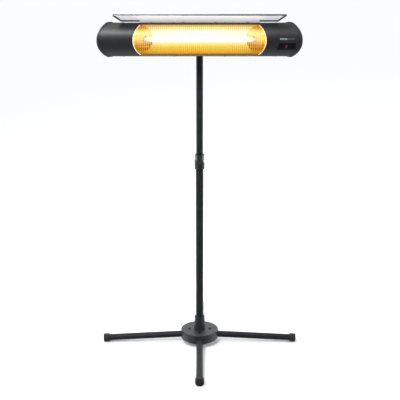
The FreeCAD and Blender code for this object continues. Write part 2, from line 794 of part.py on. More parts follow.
def make_housing():
    body = new_body()
    sketch = sketch_on(body, "YZ_Plane")
    high = s.half_height
    inner_high = high - s.shell_wall
    inner = curve_radius - s.shell_wall
    outline(sketch, [
        (curve_rear, high, ("ccw", curve_middle, 0, "x")), (curve_rear, -high),
        (flange_rear, -high), (flange_rear, -inner_high),
        (curve_front(inner, inner_high), -inner_high, ("cw", curve_middle, 0, "x")),
        (curve_front(inner, inner_high), inner_high), (flange_rear, inner_high),
        (flange_rear, high)])
    pad(body, sketch, long_side, middle=True)
    trim_ends(body, s.end_place - cap_run)
    # the opening ends in the same 45 degree planes
    deep = s.front_bulge + 30
    sketch = sketch_on(body, "XY_Plane")
    outline(sketch, [
        (-s.opening_place + 6, curve_rear + 6), (s.opening_place - 6, curve_rear + 6),
        (s.opening_place + deep, curve_rear - deep), (-s.opening_place - deep, curve_rear - deep)])
    pocket(body, sketch, s.opening_half * 2, middle=True)
    # the display shows through a hole
    sketch = sketch_on(body, "XZ_Plane", -curve_rear)
    window_outline(sketch, s.press_gap * 2)
    pocket(body, sketch, 80, reverse=True)
    holes = cover_screw_holes(1.6)
    finish(lifted(cut(body, *holes)), "housing")


def window_outline(sketch, grow):
    low = s.window_middle - s.window_half - grow
    high = s.window_middle + s.window_half + grow
    outline(sketch, [
        (s.window_left - grow, low), (s.window_right + grow, low), (s.window_right + grow, high),
        (s.window_left + s.window_slant - grow, high)])


def cover_screw_holes(radius):
    holes = []
    place = (flange_rear + curve_rear) / 2
    for x in (-300, -100, 100, 300):
        for start, end in ((s.half_height - 8, s.half_height + 1),
                           (-s.half_height - 1, -s.half_height + 8)):
            holes.append(rod("z", radius, start, end, x, place))
    return holes


def make_rear_cover():
    lap = s.shell_wall + s.free_gap
    high = s.half_height - lap
    wall = s.cover_wall
    front = curve_rear + 2
    back = -s.back_place
    low = s.back_half_height
    corner = s.back_corner
    body = drawn("YZ_Plane", [
        (front, -high), (flange_rear, -high), (back - corner, -low), (back, -low + corner),
        (back, low - corner), (back - corner, low), (flange_rear, high), (front, high)],
        long_side, middle=True)
    sketch = sketch_on(body, "YZ_Plane")
    outline(sketch, [
        (front - 1, -high + wall), (flange_rear, -high + wall), (back - corner - wall / 2, -low + wall),
        (back - wall, -low + corner + wall / 2), (back - wall, low - corner - wall / 2),
        (back - corner - wall / 2, low - wall), (flange_rear, high - wall), (front - 1, high - wall)])
    pocket(body, sketch, long_side + 2, middle=True)
    trim_ends(body, s.end_place - cap_run)
    # cooling slots in two rows along the upper part of the rear face
    slots = []
    for column in (-5, -4, -3, -2, 2, 3, 4, 5):
        middle = 44 * column
        for height in (24, 32):
            slots.append(block(middle - 14, middle + 14, back - 5, back + 1, height, height + 3))
    holes = [rod("y", 2.6, back - 8, back + 1, x, z) for x in (-34, 34) for z in (-24, 24)]
    holes.append(rod("y", gland_radius + s.press_gap, back - 8, back + 1, gland_place, 0))
    holes.append(block(switch_place - 9.6, switch_place + 9.6, back - 8, back + 1, -12.6, 12.6))
    for x in visor_screw_places:
        holes.append(on_visor(rod("z", 2.2, -s.visor_lift - 6, 2, x, visor_screw_back)))
    finish(lifted(cut(body, group(*slots), *(holes + cover_screw_holes(1.6)))), "rear_cover")


def make_cover_screws():
    place = (flange_rear + curve_rear) / 2
    screws = []
    for x in (-300, -100, 100, 300):
        screws.append(screw("z", 1.5, 3.0, s.half_height, s.half_height - 8, 1.2, x, place))
        screws.append(screw("z", 1.5, 3.0, -s.half_height, -s.half_height + 8, 1.2, x, place))
    finish(lifted(group(*screws)), "cover_screws")


def make_end_cap(name, side):
    whole = drawn("YZ_Plane", head_profile(s.cap_proud), long_side, middle=True)
    plate = common(whole, mitre_slab(side, s.end_place, s.cap_wall))
    gap = s.cover_wall + s.shell_wall + s.free_gap * 2
    plug = drawn("YZ_Plane", head_profile(-gap), long_side, middle=True)
    core = drawn("YZ_Plane", head_profile(-gap - 2), long_side, middle=True)
    skirt = common(cut(plug, core), mitre_slab(side, s.end_place - cap_run, s.cap_skirt))
    finish(lifted(fused(plate, skirt)), "end_cap_" + name)


def make_reflector():
    # a round trough behind the lamp, with a flange along each edge of its mouth
    mouth = curve_rear - 1
    half = s.trough_half
    radius = (half * half + s.trough_depth * s.trough_depth) / (s.trough_depth * 2)
    middle = mouth + s.trough_depth - radius
    outer = radius + s.trough_wall
    lip = half + 2.4
    outer_half = root(outer * outer - (mouth + s.trough_wall - middle)
                      * (mouth + s.trough_wall - middle))
    body = drawn("YZ_Plane", [
        (mouth, half, ("cw", middle, 0, "x")), (mouth, -half), (mouth, -lip),
        (mouth + s.trough_wall, -lip), (mouth + s.trough_wall, -outer_half,
                                        ("ccw", middle, 0, "x")),
        (mouth + s.trough_wall, outer_half), (mouth + s.trough_wall, lip), (mouth, lip)],
        long_side, middle=True)
    trim_ends(body, s.opening_place - cheek_run - s.press_gap * 3)
    finish(lifted(body), "reflector")


cheek_run = s.cheek_wall * math.sqrt(2)


def make_cheek(name, side):
    # the end plates lie in the planes of the opening's ends and close the trough
    gap = s.shell_wall + s.cover_wall + s.free_gap * 2
    whole = drawn("YZ_Plane", head_profile(-gap), long_side, middle=True)
    plate = common(whole, mitre_slab(side, s.opening_place, s.cheek_wall))
    hole = rod("x", s.lamp_radius + 2, 150, 320, -s.lamp_place, 0)
    if side < 0:
        hole = rod("x", s.lamp_radius + 2, -320, -150, -s.lamp_place, 0)
    finish(lifted(cut(plate, hole)), "reflector_end_" + name)


def make_grille():
    outer = curve_radius - s.shell_wall - s.grille_gap
    inner = outer - s.wire_width
    rod_outer = inner + 0.3
    place = s.opening_place - cheek_run - s.press_gap * 5
    body = new_body()
    sketch = sketch_on(body, "YZ_Plane")
    for height in (s.rod_near, -s.rod_near, s.rod_far, -s.rod_far):
        front = curve_front(rod_outer, height)
        half = s.wire_width / 2
        outline(sketch, [
            (front, height - half), (front + s.wire_width, height - half),
            (front + s.wire_width, height + half), (front, height + half)])
    pad(body, sketch, long_side, middle=True)
    wires_aside = int((place.value + s.front_bulge.value - 14) / s.wire_pitch.value)
    sketch = sketch_on(body, "YZ_Plane", -s.wire_pitch * wires_aside - s.wire_width / 2)
    outline(sketch, curved_band(outer, inner, s.wire_reach, -s.wire_reach))
    wire = pad(body, sketch, s.wire_width)
    doc.recompute()
    row = body.newObject("PartDesign::LinearPattern", "LinearPattern")
    row.Originals = [wire]
    row.Direction = ([item for item in body.Origin.OriginFeatures if item.Role == "X_Axis"][0],
                     [""])
    bind(row, Length=s.wire_pitch * wires_aside * 2)
    row.Occurrences = wires_aside * 2 + 1
    body.Tip = row
    doc.recompute()
    trim_ends(body, place)
    band = drawn("YZ_Plane", curved_band(outer, rod_outer - s.wire_width, s.wire_reach,
                                         -s.wire_reach), long_side, middle=True)
    ends = [common(band, mitre_slab(side, place, s.wire_width)) for side in (-1, 1)]
    finish(lifted(fused(body, *ends)), "grille")


def make_lamp():
    finish(lifted(tube("x", s.lamp_radius, s.lamp_radius - s.lamp_wall, -s.lamp_half,
                       s.lamp_half, -s.lamp_place, 0)), "lamp_tube")
    finish(lifted(rod("x", s.filament_radius, -s.lamp_half + 6, s.lamp_half - 6,
                      -s.lamp_place, 0)), "lamp_filament")
    inset = 8.0
    for name, side in (("left", -1), ("right", 1)):
        start = s.lamp_half - inset
        end = start + s.lamp_cap_length
        mouth = (start - 1, s.lamp_half + 0.2)
        clip = (start + 12, start + 13.5)
        tail = (start + 13.5, end)
        if side < 0:
            start, end = -end, -start
            mouth = (-mouth[1], -mouth[0])
            clip = (-clip[1], -clip[0])
            tail = (-tail[1], -tail[0])
        cap = cut(rod("x", s.lamp_cap_radius, start, end, -s.lamp_place, 0),
                  rod("x", s.lamp_radius + s.press_gap, *mouth, -s.lamp_place, 0))
        finish(lifted(cap), "lamp_cap_" + name)
        inner_face = -s.back_place - s.cover_wall - s.press_gap
        upright = block(*clip, -s.lamp_place - 15, inner_face, -15, 15)
        foot = block(*tail, inner_face - 1.5, inner_face, -15, 15)
        hole = rod("x", s.lamp_cap_radius + s.press_gap, start, end, -s.lamp_place, 0)
        finish(lifted(cut(fused(upright, foot), hole)), "lamp_holder_" + name)


def make_display():
    outer = curve_radius + 0.4
    inner = curve_radius - s.shell_wall
    band = drawn("YZ_Plane", curved_band(outer, inner, 0, -s.half_height * 0.8),
                 s.window_right + 50)
    body = new_body()
    sketch = sketch_on(body, "XZ_Plane", -curve_rear)
    window_outline(sketch, 0)
    pad(body, sketch, 80)
    finish(lifted(common(band, body)), "display_window")
    low = s.window_middle - s.window_half
    high = s.window_middle + s.window_half
    front = curve_front(inner, low) + 0.2
    finish(lifted(block(s.window_left + 4, s.window_right - 11, front, front + 10, low + 2,
                        high - 2)), "display_module")
    board_front = front + 10
    finish(lifted(block(s.window_left - 20, s.window_right - 22, board_front, board_front + 1.6,
                        low - 8, high + 36)), "control_board")
    relay = block(s.window_left, s.window_left + 20, board_front + 1.6, board_front + 17, -12, 8)
    finish(lifted(relay), "relay")


gland_place = 285.0
gland_radius = 8.0
switch_place = 222.0


def make_rear_fittings():
    back = -s.back_place
    inner_face = back - s.cover_wall - s.press_gap
    trough_back = curve_rear - 1 + s.trough_depth + s.trough_wall
    finish(lifted(rod("y", 7, trough_back, trough_back + 7.5, 84, 0)), "thermal_cutout")
    finish(lifted(block(-118, -94, inner_face - 8, inner_face, -11, 11)), "tip_switch")
    finish(lifted(block(gland_place - 26, gland_place + 4, inner_face - 15, inner_face, -38, -22)),
           "terminal_block")
    gland = fused(rod("y", gland_radius, back - 7, back + 1, gland_place, 0),
                  rod("y", gland_radius + 4, back, back + 6, gland_place, 0),
                  rod("y", gland_radius - 1, back + 6, back + 18, gland_place, 0))
    bore = rod("y", 3.6, back - 8, back + 19, gland_place, 0)
    finish(lifted(cut(gland, bore)), "cable_gland")
    frame = fused(block(switch_place - 12, switch_place + 12, back, back + 2, -15, 15),
                  block(switch_place - 9.4, switch_place + 9.4, back - 16, back, -12.4, 12.4))
    well = block(switch_place - 7.5, switch_place + 7.5, back - 9, back + 3, -10.5, 10.5)
    finish(lifted(cut(frame, well)), "switch_frame")
    # the rocker has two flat faces and stands at the end of its travel
    rocker = drawn("YZ_Plane", [
        (-2, -9.4), (2.6, -9.4), (1.3, 0), (2.6, 9.4), (-2, 9.4), (-4.5, 0)], 14.2, middle=True)
    rocker = fused(rocker, rod("x", 1.2, -7.4, 7.4))
    rocker.Placement = FreeCAD.Placement(Vector(0, 0, 0),
                                         FreeCAD.Rotation(Vector(1, 0, 0), rocker_tilt))
    bind(rocker, Placement__Base__x=switch_place, Placement__Base__y=back + 0.5,
         Placement__Base__z=s.head_height)
    finish(rocker, "power_rocker")


rocker_tilt = 8.0

# ---------------------------------------------------------------- visor (drawn flat, then tilted)

visor_screw_places = (-190.0, -64.0, 64.0, 190.0)
visor_screw_back = 26.0


def on_visor(thing, height=0):
    """Moves a piece drawn on the flat visor, whose notches lie on local X, onto the head."""
    thing = own_place(thing)
    cover_slope = s.half_height - s.shell_wall - s.free_gap
    lift = s.visor_lift / cosine(s.visor_rise)
    run = flange_rear - curve_rear
    thing.Placement = FreeCAD.Placement(Vector(0, 0, 0),
                                        FreeCAD.Rotation(Vector(1, 0, 0), -s.visor_rise.value))
    bind(thing, Placement__Base__x=0, Placement__Base__y=curve_rear,
         Placement__Base__z=cover_slope + lift + run * tangent(s.visor_rise) + height)
    return thing


def wing_corners(inset):
    """The folded part of the visor, in front of its notches, moved in from its edges by inset."""
    front = -s.visor_front + inset
    half = s.visor_half - inset
    wing = s.visor_wing_half - inset
    return [(-half, front), (half, front), (wing, -inset), (-wing, -inset)]


def make_visor():
    front_left, front_right, rear_right, rear_left = wing_corners(as_size(0))
    tab = s.visor_tab_half
    plate = drawn("XY_Plane", [
        front_left, front_right, rear_right, (tab, 0), (tab, s.visor_tab), (-tab, s.visor_tab),
        (-tab, 0), rear_left], s.visor_wall)
    round_edges(plate, 4.0, lambda edge: edge.BoundBox.XLength < 0.01
                and edge.BoundBox.YLength < 0.01)
    # folded edges hang from the front, the sides and the wings
    lip = drawn("XY_Plane", wing_corners(as_size(0)), s.visor_lip, reverse=True)
    round_edges(lip, 4.0, lambda edge: edge.BoundBox.XLength < 0.01
                and edge.BoundBox.YLength < 0.01)
    sketch = sketch_on(lip, "XY_Plane")
    outline(sketch, wing_corners(s.visor_wall))
    pocket(lip, sketch, s.visor_lip + 1)
    gap = block(-tab, tab, -s.visor_wall - 2, 5, -s.visor_lip - 1, 0)
    holes = [rod("z", 2.2, -2, s.visor_wall + 1, x, visor_screw_back)
             for x in visor_screw_places]
    finish(on_visor(cut(fused(plate, cut(lip, gap)), *holes), s.head_height), "visor")
    posts = [tube("z", 5.0, 2.2, -s.visor_lift + s.press_gap, 0, x, visor_screw_back)
             for x in visor_screw_places]
    finish(on_visor(group(*posts), s.head_height), "visor_posts")
    screws = [screw("z", 2.0, 4.0, s.visor_wall, -s.visor_lift - 5, 1.8, x, visor_screw_back)
              for x in visor_screw_places]
    finish(on_visor(group(*screws), s.head_height), "visor_screws")


# ---------------------------------------------------------------- build and write

make_hub_cover()
make_hub_plate()
for leg_name, leg_heading in HEADINGS.items():
    make_leg(leg_name, leg_heading)
    make_foot(leg_name, leg_heading)
make_leg_screws()
make_mast_socket()
make_mast_foot()
make_collar()
make_clamp()
make_lever()
make_upper_mast()
make_fork()
make_knob()
make_tilt_arm()
make_housing()
make_rear_cover()
make_cover_screws()
make_end_cap("left", -1)
make_end_cap("right", 1)
make_reflector()
make_cheek("left", -1)
make_cheek("right", 1)
make_grille()
make_lamp()
make_display()
make_rear_fittings()
make_visor()
doc.recompute()

failed = [item for item in doc.Objects if "Invalid" in item.State or "Error" in item.State]
for item in failed:
    print("failed:", item.Name, item.getStatusString(), "used by",
          [user.Label for user in item.InListRecursive])
if failed:
    raise RuntimeError("%d objects failed" % len(failed))

os.makedirs("parts", exist_ok=True)
for piece in MADE:
    shape = piece.Shape
    if shape.isNull() or not shape.isValid() or not shape.Solids:
        raise RuntimeError("%s has no valid solid" % piece.Label)
    shape.exportStep("parts/%s.step" % piece.Label)
    print("%-20s %2d solid(s) %12.1f mm3" % (piece.Label, len(shape.Solids), shape.Volume))
print(len(MADE), "sub-parts")
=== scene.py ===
import bpy
import bmesh
import math
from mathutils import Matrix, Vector


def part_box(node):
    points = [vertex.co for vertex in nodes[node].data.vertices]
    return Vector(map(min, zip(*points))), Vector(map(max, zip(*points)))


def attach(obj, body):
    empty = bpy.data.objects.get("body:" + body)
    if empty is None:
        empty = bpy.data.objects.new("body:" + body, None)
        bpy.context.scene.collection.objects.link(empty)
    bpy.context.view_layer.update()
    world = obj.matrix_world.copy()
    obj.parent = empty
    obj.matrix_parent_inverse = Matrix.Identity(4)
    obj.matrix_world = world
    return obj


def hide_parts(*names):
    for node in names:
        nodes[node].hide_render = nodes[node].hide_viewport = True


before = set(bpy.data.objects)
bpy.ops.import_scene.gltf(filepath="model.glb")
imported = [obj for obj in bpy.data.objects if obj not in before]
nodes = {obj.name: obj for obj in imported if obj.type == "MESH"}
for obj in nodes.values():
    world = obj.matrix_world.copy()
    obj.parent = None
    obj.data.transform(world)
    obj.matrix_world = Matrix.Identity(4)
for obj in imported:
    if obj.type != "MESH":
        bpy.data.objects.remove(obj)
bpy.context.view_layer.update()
mm = 0.001
print("frame loaded:", len(nodes), "CAD pieces")


# places that several pieces share

def boxOf(node):
    low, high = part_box(node)
    return Vector(low), Vector(high)


housingLow, housingHigh = boxOf("housing")
headMiddle = (housingLow.z + housingHigh.z) / 2   # height of the middle of the head
headFront = housingLow.y                          # foremost line of the curved housing
headCurve = {
    "radius": 76.48 * mm,        # outside of the housing's front curve
    "bulge": 37 * mm,            # depth of that curve
    "wall": 2 * mm,
    "openingHalf": 225.3 * mm,   # half length of the opening at the curve's rear edge
    "openingHeight": 58.5 * mm,  # half height of the opening
}
curveMiddle = headFront + headCurve["radius"]
curveRear = headFront + headCurve["bulge"]


def curveFront(radius, height):
    return curveMiddle - math.sqrt(radius * radius - height * height)


# small helpers that every material uses

def linearColour(hexValue):
    channels = []
    for index in (0, 2, 4):
        value = int(hexValue[index:index + 2], 16) / 255
        channels.append(value / 12.92 if value <= 0.04045 else ((value + 0.055) / 1.055) ** 2.4)
    return (*channels, 1.0)


def addNode(tree, kind, settings=None, links=None):
    # settings name an input socket or a property; links name an input and the output it comes from
    node = tree.nodes.new(kind)
    for name, value in (settings or {}).items():
        if name in node.inputs:
            node.inputs[name].default_value = value
        else:
            setattr(node, name, value)
    for name, source in (links or {}).items():
        tree.links.new(source, node.inputs[name])
    return node


def newMaterial(name, **surface):
    material = bpy.data.materials.new(name)
    material.use_nodes = True
    tree = material.node_tree
    shader = tree.nodes["Principled BSDF"]
    for socket, value in surface.items():
        shader.inputs[socket.replace("_", " ")].default_value = value
    return material, tree, shader


def colourRamp(tree, value, stops):
    # stops are (place, hex colour) pairs
    ramp = addNode(tree, "ShaderNodeValToRGB", links={"Fac": value})
    elements = ramp.color_ramp.elements
    while len(elements) < len(stops):
        elements.new(0.5)
    for element, (place, colour) in zip(elements, stops):
        element.position = place
        element.color = linearColour(colour)
    return ramp


def facing(tree, axis, low, high):
    # high on faces that look down the axis (its negative way), low on those that look up it
    turnOver = 0.05
    place = addNode(tree, "ShaderNodeTexCoord")
    split = addNode(tree, "ShaderNodeSeparateXYZ", links={"Vector": place.outputs["Normal"]})
    return addNode(tree, "ShaderNodeMapRange",
                   {"From Min": turnOver, "From Max": -turnOver, "To Min": low, "To Max": high},
                   {"Value": split.outputs[axis]})


def alongHead(tree, places, levels):
    # goes from one level to the other between two distances from the head's middle, in mm
    place = addNode(tree, "ShaderNodeTexCoord")
    split = addNode(tree, "ShaderNodeSeparateXYZ", links={"Vector": place.outputs["Object"]})
    along = addNode(tree, "ShaderNodeMath", {"operation": "ABSOLUTE"}, {0: split.outputs["X"]})
    return addNode(tree, "ShaderNodeMapRange",
                   {"From Min": places[0] * mm, "From Max": places[1] * mm,
                    "To Min": levels[0], "To Max": levels[1]}, {"Value": along.outputs["Value"]})


def objectNoise(tree, sizeInMm, detail=3.0):
    # a pattern whose grains are about sizeInMm across, in the object's own metres
    place = addNode(tree, "ShaderNodeTexCoord")
    return addNode(tree, "ShaderNodeTexNoise", {"Scale": 1 / (sizeInMm * mm), "Detail": detail},
                   {"Vector": place.outputs["Object"]})


def lengthwiseLines(tree, longInMm, acrossInMm, detail):
    # fine lines drawn out along the length of the head
    across = 1 / (acrossInMm * mm)
    place = addNode(tree, "ShaderNodeTexCoord")
    stretch = addNode(tree, "ShaderNodeMapping", {"Scale": (1 / (longInMm * mm), across, across)},
                      {"Vector": place.outputs["Object"]})
    return addNode(tree, "ShaderNodeTexNoise", {"Scale": 1.0, "Detail": detail},
                   {"Vector": stretch.outputs["Vector"]})


def mottle(tree, shader, noise, stops, socket="Base Color"):
    ramp = colourRamp(tree, noise.outputs["Fac"], stops)
    tree.links.new(ramp.outputs["Color"], shader.inputs[socket])


def spreadRoughness(tree, shader, noise, span):
    rough = addNode(tree, "ShaderNodeMapRange", {"To Min": span[0], "To Max": span[1]},
                    {"Value": noise.outputs["Fac"]})
    tree.links.new(rough.outputs["Result"], shader.inputs["Roughness"])


def raiseBump(tree, shader, height, heightInMm, strength):
    bump = addNode(tree, "ShaderNodeBump", {"Distance": heightInMm * mm, "Strength": strength},
                   {"Height": height})
    tree.links.new(bump.outputs["Normal"], shader.inputs["Normal"])


# paints: sizes of patches and grain are in mm, tones are hex colours along the pattern

tubePaint = {
    "tones": [(0.3, "171a1b"), (0.75, "1f2324")],
    "patch": 35,
    "peel": 1.6,                 # coarser than the real peel, so that it shows close by
    "peelHeight": 0.06,
    "peelStrength": 0.35,
    "roughness": (0.46, 0.58),
    "reflection": 0.2,
}


def powderCoatedSteel():
    # powder paint baked on tube: a fine orange peel breaks up the reflections, grey-black colour
    material, tree, shader = newMaterial("powderCoatedSteel", IOR=1.5,
                                         Specular_IOR_Level=tubePaint["reflection"])
    patches = objectNoise(tree, tubePaint["patch"], 2)
    mottle(tree, shader, patches, tubePaint["tones"])
    spreadRoughness(tree, shader, patches, tubePaint["roughness"])
    peel = objectNoise(tree, tubePaint["peel"])
    raiseBump(tree, shader, peel.outputs["Fac"], tubePaint["peelHeight"],
              tubePaint["peelStrength"])
    return material


castPaint = {
    "tones": [(0.3, "202325"), (0.75, "2a2e30")],
    "patch": 22,
    "peel": 2.4,
    "peelHeight": 0.12,
    "peelStrength": 0.45,
    "roughness": (0.42, 0.55),
}


def castHubPaint():
    # the same paint over a cast cover: coarser peel and a slightly greyer, flatter top
    material, tree, shader = newMaterial("powderCoatedCasting", IOR=1.5)
    patches = objectNoise(tree, castPaint["patch"])
    mottle(tree, shader, patches, castPaint["tones"])
    spreadRoughness(tree, shader, patches, castPaint["roughness"])
    peel = objectNoise(tree, castPaint["peel"], 4)
    raiseBump(tree, shader, peel.outputs["Fac"], castPaint["peelHeight"],
              castPaint["peelStrength"])
    return material


# metals

extrusion = {
    "tones": [(0.3, "2b2c2e"), (0.7, "323335")],
    "patch": 60,
    "lineLength": 500,
    "lineWidth": 1.43,           # real draw lines are finer; these still show close by
    "lineHeight": 0.02,
    "lineStrength": 0.25,
    "roughness": (0.42, 0.52),
    "metallic": 0.5,             # a dyed oxide layer over the metal
}


def anodisedAluminium():
    # extruded and dark anodised: faint draw lines along the profile stretch the highlights
    material, tree, shader = newMaterial("anodisedAluminium", Metallic=extrusion["metallic"],
                                         Anisotropic=0.35)
    lines = lengthwiseLines(tree, extrusion["lineLength"], extrusion["lineWidth"], 2)
    mottle(tree, shader, objectNoise(tree, extrusion["patch"], 2), extrusion["tones"])
    spreadRoughness(tree, shader, lines, extrusion["roughness"])
    raiseBump(tree, shader, lines.outputs["Fac"], extrusion["lineHeight"],
              extrusion["lineStrength"])
    return material


plating = {
    "zinc": {"name": "zincPlatedSteel", "tones": [(0.25, "a9abac"), (0.75, "c3c5c6")],
             "roughness": (0.28, 0.42), "cloud": 3},
    "blackScrew": {"name": "blackOxideSteel", "tones": [(0.25, "1a1a1b"), (0.75, "2a2a2b")],
                   "roughness": (0.35, 0.5), "cloud": 3},
    "chrome": {"name": "nickelPlatedSteel", "tones": [(0.25, "6e7074"), (0.75, "84868a")],
               "roughness": (0.2, 0.3), "cloud": 12},
    # the visor edge's dark tone is painted shade along the sheet's outline
    "visorEdgePaintedShade": {"name": "shearedSteelEdgePaintedShade", "tones": [(0.25, "34353c"), (0.75, "474850")],
                  "roughness": (0.45, 0.6), "cloud": 5},
    "cloudHeight": 0.01,
    "cloudStrength": 0.2,
}


def platedSteel(finish):
    # plated, blackened or sheared steel: the clouding of the surface breaks up its shine a little;
    # the sheared visor edge is dark with painted shade
    values = plating[finish]
    material, tree, shader = newMaterial(values["name"], Metallic=1.0)
    cloud = objectNoise(tree, values["cloud"])
    mottle(tree, shader, cloud, values["tones"])
    spreadRoughness(tree, shader, cloud, values["roughness"])
    raiseBump(tree, shader, cloud.outputs["Fac"], plating["cloudHeight"],
              plating["cloudStrength"])
    return material


visorSheet = {
    # underside tones are painted light and top tones are painted shade, on the same sheet
    "undersidePaintedLightTones": [(0.3, "dcdde6"), (0.7, "ecedf3")],
    "topPaintedShadeTones": [(0.3, "7c7e84"), (0.7, "96989e")],
    "undersidePaintedGlow": 0.5,                 # strength of the painted glow that lightens the underside
    "grainLength": 167,
    "grainWidth": 1.11,          # real brushing is finer; this still shows close by
    "grainHeight": 0.015,
    "grainStrength": 0.3,
    "roughness": (0.3, 0.42),
}


def brushedStainless():
    # pale satin stainless sheet, brushed along its length: soft reflections drawn out across the
    # grain. Painted light and shade split the sheet: the underside has pale painted-light tones
    # and a painted glow, and the top has darker painted-shade grey
    material, tree, shader = newMaterial("brushedStainlessSteel", Metallic=0.4, Anisotropic=0.4)
    brushing = lengthwiseLines(tree, visorSheet["grainLength"], visorSheet["grainWidth"], 3)
    pale = colourRamp(tree, brushing.outputs["Fac"], visorSheet["undersidePaintedLightTones"])
    grey = colourRamp(tree, brushing.outputs["Fac"], visorSheet["topPaintedShadeTones"])
    # faces looking down take the pale painted-light tones, and faces looking up take the grey
    # painted-shade ones
    below = facing(tree, "Z", 0.0, 1.0)
    sides = addNode(tree, "ShaderNodeMix", {"data_type": "RGBA"},
                    {"Factor": below.outputs["Result"],
                     6: grey.outputs["Color"], 7: pale.outputs["Color"]})
    tree.links.new(sides.outputs[2], shader.inputs["Base Color"])
    # painted glow in the pale tones, on the underside only
    tree.links.new(pale.outputs["Color"], shader.inputs["Emission Color"])
    undersidePaintedGlow = facing(tree, "Z", 0.0, visorSheet["undersidePaintedGlow"])
    tree.links.new(undersidePaintedGlow.outputs["Result"], shader.inputs["Emission Strength"])
    spreadRoughness(tree, shader, brushing, visorSheet["roughness"])
    raiseBump(tree, shader, brushing.outputs["Fac"], visorSheet["grainHeight"],
              visorSheet["grainStrength"])
    return material


# plastics, rubber and board

mouldings = {
    "abs": {"name": "mouldedAbs", "tones": [(0.3, "17181a"), (0.75, "212325")],
            "roughness": (0.42, 0.55)},
    "capAbs": {"name": "mouldedCapAbs", "tones": [(0.3, "141516"), (0.75, "1c1e1f")],
               "roughness": (0.38, 0.5)},
    "collarAbs": {"name": "glassFilledNylon", "tones": [(0.3, "141918"), (0.75, "1d2221")],
                  "roughness": (0.4, 0.55)},
    "acetal": {"name": "acetal", "tones": [(0.3, "c9c8c0"), (0.75, "d8d7d0")],
               "roughness": (0.3, 0.42)},
    "component": {"name": "epoxyCase", "tones": [(0.3, "1c1c1e"), (0.75, "2c2c2e")],
                  "roughness": (0.4, 0.55)},
    "patch": 14,
    "grain": 0.9,
    "grainHeight": 0.04,
    "grainStrength": 0.4,
}


def mouldedPlastic(finish):
    # injection-moulded plastic with a spark-eroded grain: broad dull highlights
    values = mouldings[finish]
    material, tree, shader = newMaterial(values["name"], IOR=1.53)
    mottle(tree, shader, objectNoise(tree, mouldings["patch"], 2), values["tones"])
    grain = objectNoise(tree, mouldings["grain"], 2)
    spreadRoughness(tree, shader, grain, values["roughness"])
    raiseBump(tree, shader, grain.outputs["Fac"], mouldings["grainHeight"],
              mouldings["grainStrength"])
    return material


rubber = {
    "tones": [(0.35, "121212"), (0.8, "232323")],
    "dust": 9,
    "grain": 1.2,
    "grainHeight": 0.08,
    "grainStrength": 0.5,
    "roughness": (0.68, 0.88),
}


def footRubber():
    # moulded rubber: dull, slightly dusty black
    material, tree, shader = newMaterial("mouldedRubber", IOR=1.52)
    dust = objectNoise(tree, rubber["dust"], 4)
    mottle(tree, shader, dust, rubber["tones"])
    spreadRoughness(tree, shader, dust, rubber["roughness"])
    grain = objectNoise(tree, rubber["grain"])
    raiseBump(tree, shader, grain.outputs["Fac"], rubber["grainHeight"], rubber["grainStrength"])
    return material


window = {"tones": [(0.3, "0c0d0f"), (0.8, "121316")], "smear": 18, "roughness": (0.08, 0.16)}


def tintedWindow():
    # dark tinted polycarbonate, polished: nearly black with one sharp reflection
    material, tree, shader = newMaterial("tintedPolycarbonate", IOR=1.585,
                                         Specular_IOR_Level=0.2)
    smear = objectNoise(tree, window["smear"])
    mottle(tree, shader, smear, window["tones"])
    spreadRoughness(tree, shader, smear, window["roughness"])
    return material


board = {"tones": [(0.3, "12401f"), (0.7, "1b5a2c")], "weave": 1.2, "roughness": (0.25, 0.4)}


def circuitBoard():
    # glass-fibre circuit board under green solder mask: the weave just shows in the gloss
    material, tree, shader = newMaterial("solderMask", IOR=1.5)
    weave = objectNoise(tree, board["weave"], 2)
    mottle(tree, shader, weave, board["tones"])
    spreadRoughness(tree, shader, weave, board["roughness"])
    return material


# the lamp, and the pieces near it whose lamp light is painted: painted glow and painted
# reflections set as emission

# painted glow: the lamp's light and its reflection, painted as emission on the reflector, its end
# plates and the grille's wires
glow = {
    "troughHalf": 58 * mm,
    "strength": 1.1,
    # stops are shares of the trough's height, from its lower lip to its upper one
    "stops": [(0.00, "b87e28"), (0.04, "dc9f32"), (0.13, "eab83c"), (0.22, "eed24c"),
              (0.30, "f2e27c"), (0.36, "fbf3b8"), (0.42, "ffffff"), (0.72, "ffffff"),
              (0.80, "fff9d0"), (0.87, "f8ecaa"), (0.95, "f0dd84"), (1.00, "d0a850")],
    "endStops": [(0.00, "8a4a10"), (0.07, "d58a1c"), (0.20, "a8620f"), (0.29, "c06a0c"),
                 (0.38, "e29a28"), (0.45, "f6ba3c"), (0.53, "ffe45c"), (0.64, "ffea70"),
                 (0.74, "fff08c"), (0.81, "ffd85c"), (0.87, "e48e28"), (0.95, "c4661a"),
                 (1.00, "7a3808")],
    "wireStops": [(0.00, "86540c"), (0.08, "a87014"), (0.22, "c89c20"), (0.32, "e6cc60"),
                  (0.40, "fff4c8"), (0.46, "fffdf0"), (0.68, "fffdf0"), (0.78, "fdf0b8"),
                  (0.88, "e8c870"), (1.00, "a87428")],
    "wireStrength": 0.75,
    "endPaintedShade": 0.35,             # painted shade: share of the painted light taken off near the trough's two ends
    "endPlaces": (150, 222),     # mm from the middle, where that loss starts and is full
    "dish": 5.5,                 # mm across one hammered dish
    "endDish": 6.5,
    "dishDepth": 0.8,            # mm
    "dishStrength": 0.6,
    "dishShare": 0.55,           # how much the dishes' painted highlight and painted shade vary the painted light
    "dishLevels": (1.1, 0.78),   # painted highlight in the middle of a dish to painted shade at its edge
    "dishEdge": 0.8,             # distance in the pattern at which a dish ends
    # dark amber tone of the metal: painted shade and painted lamp tint
    "metal": "3a2a18",
}


def heightRamp(tree, stops):
    # colour by height across the trough, in the head's own coordinates
    place = addNode(tree, "ShaderNodeTexCoord")
    split = addNode(tree, "ShaderNodeSeparateXYZ", links={"Vector": place.outputs["Object"]})
    span = addNode(tree, "ShaderNodeMapRange",
                   {"From Min": headMiddle - glow["troughHalf"],
                    "From Max": headMiddle + glow["troughHalf"]}, {"Value": split.outputs["Z"]})
    return colourRamp(tree, span.outputs["Result"], stops)


